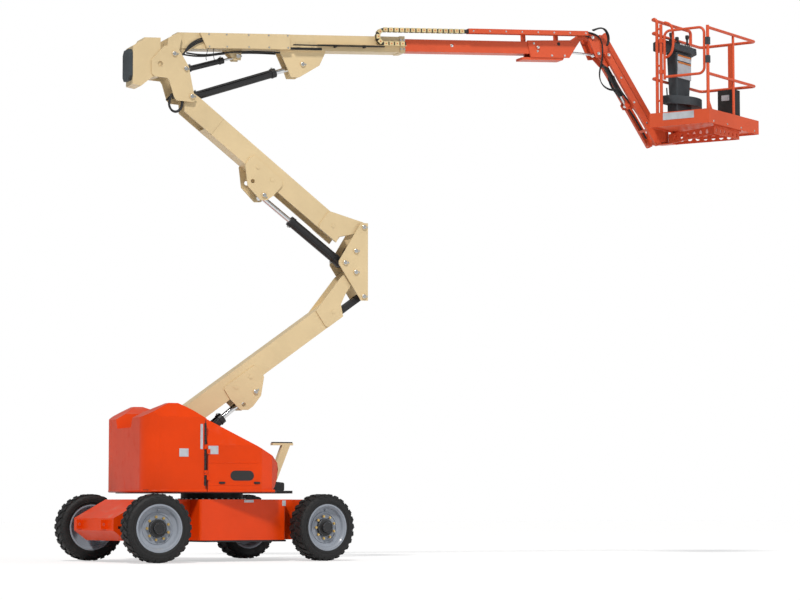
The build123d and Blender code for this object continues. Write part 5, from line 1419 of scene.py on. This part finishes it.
@dataclass
class FlyBoom:
    """Fly boom, its tray and the plates at its nose."""

    pins: tuple[tuple[float, float, float], ...] = ((4.326, 0.150, 0.1055), (3.269, 0.153, 0.081))
    bolts: tuple[Span, ...] = ((4.323, 0.108), (4.28, 0.195), (4.50, 0.060), (4.66, 0.060))
    cheek: float = 0.094
    tray_screws: int = 8
    weld: tuple[Span, ...] = ((4.199, 0.222), (4.235, 0.042))

    def dress(self) -> None:
        """Paints the fly boom and its tray."""
        dress(Finish.RED, "fly_boom", "fly_tray")

    def build(self) -> None:
        """Pins, bolts, the plug, tray screws, welds and the hoses that leave the nose."""
        caps = Mould("fly_pins", "fly", Finish.PIN)
        for x, z, y in self.pins:
            for side in SIDES.values():
                caps.lathe(BOOM.turned(x, side * y, z), plain_cap(side, 0.017, 0.014))
        bolts = both_sides(BOOM, self.bolts, self.cheek)
        caps.take(HEX.made(bolts, Finish.PIN, 0.008, 0.012, 0.010))
        caps.cast()
        plug = both_sides(BOOM, [(4.591, 0.193)], self.cheek)
        STUD.fix("fly_plugs", "fly", Finish.PLASTIC, plug, 0.015, 0.019, 0.006)
        spots = [(3.50 + 0.2 * i, 0.309) for i in range(self.tray_screws)]
        places = near_side(BOOM, spots, -0.1775)
        STUD.fix("tray_screws", "fly", Finish.PIN, places, 0.006, 0.0095, 0.006)
        welds = Mould("fly_welds", "fly", Finish.RED)
        for side in SIDES.values():
            welds.tube(BOOM.line(self.weld, side * 0.081), 0.0034, True)
        welds.cast()
        hoses = Mould("fly_nose_hoses", "fly", Finish.HOSE)
        for y in (-0.150, -0.136, -0.122):
            line = [(4.30, y, 0.306), (4.62, y, 0.306), (4.88, y + 0.01, 0.308),
                    (4.99, y + 0.03, 0.290), (5.03, y + 0.05, 0.225)]
            hoses.tube([BOOM.point(*point) for point in line], 0.007)
        hoses.cast()


@dataclass
class Jib:
    """Jib arm, its levelling link, base and head."""

    base_pins: tuple[tuple[float, float, float], ...] = (
        (0.0, 0.0, 0.1245), (0.075, -0.180, 0.1245), (0.195, -0.191, 0.1415),
    )
    arm_bolts: tuple[Span, ...] = ((0.30, 0.0), (0.62, -0.010), (0.90, 0.0))
    rotator: Span = (5.453, 0.0)
    rotator_bolts: int = 10
    rotator_circle: float = 0.058
    rotator_faces: tuple[tuple[float, int], ...] = ((4.762, -1), (4.946, 1))
    loop_line: tuple[Span, ...] = (
        (-0.06, 0.055), (0.05, 0.045), (0.115, -0.02), (0.120, -0.14), (0.112, -0.26),
        (0.070, -0.40), (0.085, -0.50), (0.150, -0.575), (0.25, -0.595), (0.33, -0.570),
    )

    def dress(self) -> None:
        """Paints the jib."""
        dress(Finish.RED, "jib_base", "jib_arm", "jib_link", "jib_head")

    def build(self) -> None:
        """Pins, the rotator's bolts and the hoses along the jib."""
        base = Mould("jib_base_pins", "jib_base", Finish.PIN)
        for x, z, y in self.base_pins:
            for side in SIDES.values():
                base.lathe(NOSE.turned(x, side * y, z), plain_cap(side, 0.019, 0.015))
        base.cast()
        bolts = both_sides(JIB, self.arm_bolts, 0.128)
        HEX.fix("jib_arm_pins", "jib_arm", Finish.PIN, bolts, 0.008, 0.012, 0.009)
        places = []
        for t in turns(self.rotator_bolts):
            x = self.rotator[0] + self.rotator_circle * math.cos(t)
            y = self.rotator[1] + self.rotator_circle * math.sin(t)
            for z, way in self.rotator_faces:
                places.append((Vector((x, y, z)), Vector((0, 0, way)), ROW.along))
        HEX.fix("rotator_bolts", "jib_head", Finish.BLACK, places, 0.006, 0.008, 0.006)
        self._hoses()

    def _hoses(self) -> None:
        """Hoses over the base, in a loop beside the jib, and along the arm."""
        bundle = Mould("jib_top_hoses", "jib_base", Finish.HOSE)
        for i, y in enumerate((-0.184, -0.173, -0.162, -0.152)):
            line = [(-0.02, 0.066 + 0.004 * i), (0.04, 0.098), (0.10, 0.108 + 0.005 * i),
                    (0.16, 0.075), (0.19, -0.02), (0.16, -0.09)]
            bundle.tube(NOSE.line(line, y), 0.0085)
        bundle.cast()
        loop = Mould("jib_hose_loop", "jib_base", Finish.HOSE)
        for i, y in enumerate((-0.128, -0.116)):
            line = [(x + 0.012 * i, z - 0.010 * i) for x, z in self.loop_line]
            loop.tube(NOSE.line(line, y), 0.006)
        loop.cast(("jib_arm", NOSE.point(0.11, 0, -0.24), NOSE.point(0.25, 0, -0.58)))
        hoses = Mould("jib_hoses", "jib_arm", Finish.HOSE)
        for i, y in enumerate((-0.066, -0.052, 0.052, 0.066)):
            line = [(0.24, -0.040), (0.32, -0.056 - 0.008 * i), (0.42, -0.062),
                    (0.72, -0.006), (0.98, -0.004), (1.08, -0.010)]
            hoses.tube(JIB.line(line, y), 0.0075)
        hoses.cast()


@dataclass
class Platform:
    """Work platform with its rails, gate, console and tool box."""

    left: float = -0.586
    back: float = -0.196
    front: float = -0.908
    floor_top: float = 0.0270
    grip_rows: tuple[int, int] = (29, 17)
    grip_pitch: Span = (0.0405, 0.044)
    latch_heights: Span = (0.884, 0.677)
    hoop_line: tuple[Span, ...] = (
        (-0.345, 0.79), (-0.40, 0.80), (-0.455, 0.86), (-0.455, 1.00),
        (-0.452, 1.13), (-0.40, 1.188), (-0.345, 1.195),
    )
    levers: tuple[Span, ...] = ((-0.350, 1.105), (-0.210, 1.075), (0.035, 1.130))
    boot: tuple[Span, ...] = (
        (0.0, -0.006), (0.034, -0.004), (0.036, 0.006), (0.028, 0.012), (0.030, 0.018),
        (0.022, 0.025), (0.024, 0.031), (0.0145, 0.040), (0.0, 0.040),
    )
    knob: tuple[Span, ...] = (
        (0.0, -0.050), (0.014, -0.048), (0.021, -0.030), (0.023, -0.010), (0.019, 0.006), (0.0, 0.010),
    )
    dial: tuple[Span, ...] = (
        (0.0, -0.002), (0.014, -0.002), (0.014, 0.012), (0.022, 0.014), (0.023, 0.022), (0.0, 0.025),
    )
    switches: int = 7

    def dress(self) -> None:
        """Paints the platform and gives the console its plastics."""
        dress(Finish.RED, "platform_floor", "platform_support", "platform_rails", "platform_gate")
        dress(Finish.DARK, "console")
        dress(Finish.PLASTIC, "tool_box")

    def build(self) -> None:
        """Floor pattern, post feet, latch, hoop, console and blank signs."""
        self._floor()
        self._rails()
        self._levers()
        self._panel()
        self._sheets()

    def _floor(self) -> None:
        """Raised grip bars on the floor and bolts along the toe board."""
        ways = [(PLATFORM.along + PLATFORM.across).normalized(),
                (PLATFORM.along - PLATFORM.across).normalized()]
        places = []
        for i in range(self.grip_rows[0]):
            for j in range(self.grip_rows[1]):
                x = -0.57 + i * self.grip_pitch[0]
                y = -0.905 + j * self.grip_pitch[1]
                spot = PLATFORM.point(x, y, self.floor_top)
                places.append((spot, PLATFORM.up, ways[(i + j) % 2]))
        BAR.fix("floor_grip", "platform", Finish.RED, places, 0.006, 0.026, 0.002)
        bolts = []
        for x in (-0.50, -0.17, 0.17, 0.50):
            for y, way in ((-0.9325, -1), (-0.1715, 1)):
                spot = PLATFORM.point(x, y, 0.030)
                bolts.append((spot, PLATFORM.across * way, PLATFORM.along))
        HEX.fix("toe_bolts", "platform", Finish.PIN, bolts, 0.008, 0.012, 0.009)

    def _rails(self) -> None:
        """Feet of the posts, the latch, the hoop by the gate and the wires below the console."""
        left, back, front = self.left, self.back, self.front
        feet = Mould("post_feet", "platform", Finish.RED)
        for x, y in ((left, front), (0.030, front), (left, back - 0.118), (left, back - 0.066)):
            feet.ring(PLATFORM.moved(x, y, 0.0), (0.017, 0.026), (0.0265, 0.034), 28)
        gusset = [(left + 0.012, 0.155), (left + 0.105, 0.155), (left + 0.012, 0.275)]
        feet.plate(PLATFORM.moved(0, front, 0), gusset, (-0.004, 0.004))
        feet.cast()
        latch = Mould("gate_latch", "platform", Finish.DARK)
        for z in self.latch_heights:
            x, y = (left - 0.022, left + 0.022), (front - 0.024, front + 0.022)
            latch.block(PLATFORM, x, y, (z, z + 0.085), 0.003)
        latch.cast()
        hoop = Mould("gate_hoop", "platform_gate", Finish.RED)
        hoop.tube([PLATFORM.point(left + 0.030, y, z) for y, z in self.hoop_line], 0.0145)
        hoop.cast()
        wires = Mould("platform_wires", "platform", Finish.HOSE)
        for i in range(2):
            line = [(-0.10, -0.170 - 0.012 * i, 0.10), (-0.16, -0.186, 0.20),
                    (-0.22, -0.190, 0.34), (-0.25, -0.20, 0.50)]
            wires.tube([PLATFORM.point(*point) for point in line], 0.008)
        wires.cast()

    def _levers(self) -> None:
        """Control levers: a pleated boot and a knob for each."""
        boots = Mould("lever_boots", "platform", Finish.RUBBER)
        knobs = Mould("lever_knobs", "platform", Finish.PLASTIC)
        for x, height in self.levers:
            boots.lathe(self._upright(x, 1.0), self.boot)
            knobs.lathe(self._upright(x, height), self.knob)
        boots.cast()
        knobs.cast()

    def _upright(self, x: float, z: float) -> Axes:
        """Axes at a lever's place, z upwards."""
        return PLATFORM.moved(x, self.back - 0.120, z)

    def _panel(self) -> None:
        """Switches and the dial on the sloping panel."""
        slope = math.atan2(0.060, 0.170)
        tilt = Axes(PLATFORM.point(0, self.back - 0.190, 0.984), PLATFORM.along,
                    PLATFORM.across * math.cos(slope) + PLATFORM.up * math.sin(slope),
                    PLATFORM.up * math.cos(slope) - PLATFORM.across * math.sin(slope))
        places = [
            (tilt.point(-0.16 + i * 0.040, 0.045, 0.006), tilt.up, tilt.along)
            for i in range(self.switches)
        ]
        STUD.fix("panel_switches", "platform", Finish.PIN, places, 0.005, 0.0095, 0.018)
        knob = Mould("panel_dial", "platform", Finish.RED)
        knob.lathe(tilt.moved(-0.30, 0.060, 0), self.dial)
        knob.cast()

    def _sheets(self) -> None:
        """Blank instruction sheets, and blank plates where signs are usually fixed."""
        back = self.back
        sheets = Mould("console_sheets", "platform", Finish.PALE)
        for z in ((0.800, 0.868), (0.600, 0.790)):
            sheets.block(PLATFORM, (-0.290, 0.025), (back - 0.1745, back - 0.1640), z, 0.001)
        sheets.cast()
        heads = Mould("console_sheet_heads", "platform", Finish.LENS)
        for z in ((0.848, 0.867), (0.768, 0.789)):
            heads.block(PLATFORM, (-0.288, 0.023), (back - 0.1760, back - 0.1740), z, 0.0006)
        heads.cast()
        plates = Mould("blank_signs", "platform", Finish.PALE)
        plates.block(PLATFORM, (-0.6125, -0.610), (-0.740, -0.345), (0.070, 0.150), 0.001)
        plates.cast()
        small = Mould("tool_box_plate", "platform", Finish.PALE)
        small.block(PLATFORM, (0.3925, 0.3965), (-0.665, -0.565), (0.395, 0.460), 0.001)
        small.cast()


@dataclass(frozen=True)
class Barrel:
    """Sizes of one lift cylinder's barrel."""

    name: str
    base: Span
    eye: Vector
    gland: float
    radius: float


@dataclass
class Cylinders:
    """The machine's hydraulic cylinders."""

    names: tuple[str, ...] = (
        "lower_lift", "upper_lift", "main_lift", "level_master", "level_slave", "jib_lift",
    )

    def dress(self) -> None:
        """Blackens the barrels and polishes the rods."""
        dress(Finish.BLACK, *[f"{name}_barrel" for name in self.names])
        dress(Finish.CHROME, *[f"{name}_rod" for name in self.names])

    def build(self) -> None:
        """Ports, feed pipes and gland rings on each of the larger barrels."""
        barrels = (
            Barrel("lower_lift", (-0.480, 1.035), LOWER.at(LOWER_EYE), 0.770, 0.055),
            Barrel("upper_lift", (1.466, 3.225), UPPER.at(UPPER_EYE), 0.745, 0.052),
            Barrel("main_lift", (-0.292, 4.947), BOOM.at(LIFT_EYE), 1.046, 0.046),
            Barrel("level_master", (-0.362, 5.242), BOOM.at(LEVEL_EYE), 0.485, 0.030),
        )
        for barrel in barrels:
            self._fittings(barrel)

    def _fittings(self, barrel: Barrel) -> None:
        """One barrel's pipe, rings and ports.

        Args:
            barrel: The barrel's sizes.
        """
        body, gland, radius = f"{barrel.name}_barrel", barrel.gland, barrel.radius
        x, z = barrel.base
        angle = math.degrees(math.atan2(barrel.eye.z - z, barrel.eye.x - x))
        axes = pitched(x, z, angle)
        out = radius + 0.010
        line = [(0.10, -radius * 0.6), (0.11, -out * 0.8), (0.16, -out * 0.85),
                (gland - 0.12, -out * 0.85), (gland - 0.05, -out * 0.8), (gland - 0.03, -radius * 0.6)]
        pipes = Mould(f"{barrel.name}_pipes", body, Finish.BLACK)
        pipes.tube([axes.point(x, y, radius * 0.62) for x, y in line], 0.006)
        lengthwise = Axes(axes.origin, axes.across, axes.up, axes.along)
        pipes.ring(lengthwise, (radius - 0.002, radius + 0.008), (gland - 0.050, gland - 0.038), 40)
        pipes.ring(lengthwise, (radius - 0.002, radius + 0.006), (0.075, 0.10), 40)
        pipes.cast()
        places = [(axes.point(x, 0, radius + 0.006), axes.up, axes.along) for x in (0.10, gland - 0.025)]
        HEX.fix(f"{barrel.name}_ports", body, Finish.PIN, places, 0.012, 0.015, 0.024)


# ---- studio ---------------------------------------------------------------
@dataclass(frozen=True)
class Studio:
    """Floor, lamps, world and camera."""

    lens: float = 119.475
    place: Span = (-8.999, -26.982)
    height: float = 0.599
    tilt: float = 94.40
    heading: float = -22.49
    floor_half: float = 60.0
    floor_white: float = 1.25
    floor_share: float = 0.45
    sky: float = 0.34
    aim: Colour = (1.0, 0.0, 2.6)

    def build(self) -> None:
        """Sets the studio up."""
        self._camera()
        self._floor()
        self._world()
        self._lamps()
        bpy.context.scene.view_settings.view_transform = "Standard"

    def _camera(self) -> None:
        """The main view's camera."""
        data = bpy.data.cameras.new("main_view")
        data.lens = self.lens
        data.sensor_width = 36.0
        data.clip_end = 200.0
        camera = linked("main_view", data)
        camera.location = (*self.place, self.height)
        camera.rotation_euler = (math.radians(self.tilt), 0, math.radians(self.heading))
        bpy.context.scene.camera = camera

    def _floor(self) -> None:
        """A plain pale floor that looks white to the camera and keeps the shadow."""
        mesh = bpy.data.meshes.new("floor")
        far = self.floor_half
        corners = [(-far, -far, 0), (far, -far, 0), (far, far, 0), (-far, far, 0)]
        mesh.from_pydata(corners, [], [(0, 1, 2, 3)])
        floor = linked("floor", mesh)
        shader = Shader("studio_floor")
        cloud = shader.noise(0.8, 3.0)
        colour = shader.mix(cloud.above(0.3, 0.7), (0.90, 0.90, 0.90), (0.88, 0.88, 0.885))
        mesh.materials.append(shader.finish(cloud, 0.0001, Base_Color=colour, Roughness=0.9))
        shader.surface.inputs["Specular IOR Level"].default_value = 0.0
        seen = Wire(shader.tree, shader.node("ShaderNodeLightPath").outputs["Is Camera Ray"])
        glow = {"Color": (1, 1, 1, 1), "Strength": self.floor_white}
        white = shader.node("ShaderNodeEmission", None, glow)
        sockets = {0: seen * self.floor_share, 1: shader.surface.outputs[0], 2: white.outputs[0]}
        both = shader.node("ShaderNodeMixShader", None, sockets)
        output = shader.tree.nodes["Material Output"]
        shader.tree.links.new(both.outputs[0], output.inputs[0])

    def _world(self) -> None:
        """White background to the camera, soft grey light to the object."""
        world = bpy.data.worlds.new("studio")
        bpy.context.scene.world = world
        world.use_nodes = True
        tree = world.node_tree
        tree.nodes.clear()
        out = tree.nodes.new("ShaderNodeOutputWorld")
        seen = tree.nodes.new("ShaderNodeBackground")
        seen.inputs[0].default_value = (1, 1, 1, 1)
        light = tree.nodes.new("ShaderNodeBackground")
        light.inputs[0].default_value = (0.94, 0.97, 1.0, 1)
        light.inputs[1].default_value = self.sky
        path = tree.nodes.new("ShaderNodeLightPath")
        mix = tree.nodes.new("ShaderNodeMixShader")
        tree.links.new(path.outputs["Is Camera Ray"], mix.inputs[0])
        tree.links.new(light.outputs[0], mix.inputs[1])
        tree.links.new(seen.outputs[0], mix.inputs[2])
        tree.links.new(mix.outputs[0], out.inputs[0])

    def _lamps(self) -> None:
        """A high sun with soft edges and a large lamp that fills the shade."""
        rows = (("key_lamp", "SUN", (-9, -17, 26), (1.0, 0.975, 0.94), 2.35, 0.12),
                ("fill_lamp", "AREA", (20, -16, 8), (0.93, 0.96, 1.0), 1100, 12.0))
        for name, kind, place, colour, power, size in rows:
            data = bpy.data.lights.new(name, kind)
            data.energy, data.color = power, colour
            setattr(data, "angle" if kind == "SUN" else "size", size)
            lamp = linked(name, data)
            lamp.location = place
            towards = Vector(self.aim) - Vector(place)
            lamp.rotation_euler = towards.to_track_quat("-Z", "Y").to_euler()


def main() -> None:
    """Builds and dresses the machine's sub-assemblies in order."""
    logging.basicConfig(level=logging.INFO, format="%(message)s")
    Studio().build()
    wheels = [Wheel(name, side) for name in ("steer", "drive") for side in SIDES]
    booms = [Tower(), BoomHead(), MainBoom(), FlyBoom(), Jib()]
    for part in (Chassis(), *wheels, Turntable(), Hoods(), *booms, Platform(), Cylinders()):
        part.dress()
        part.build()
        LOG.info("%s done", type(part).__name__)


if __name__ == "__main__":
    main()
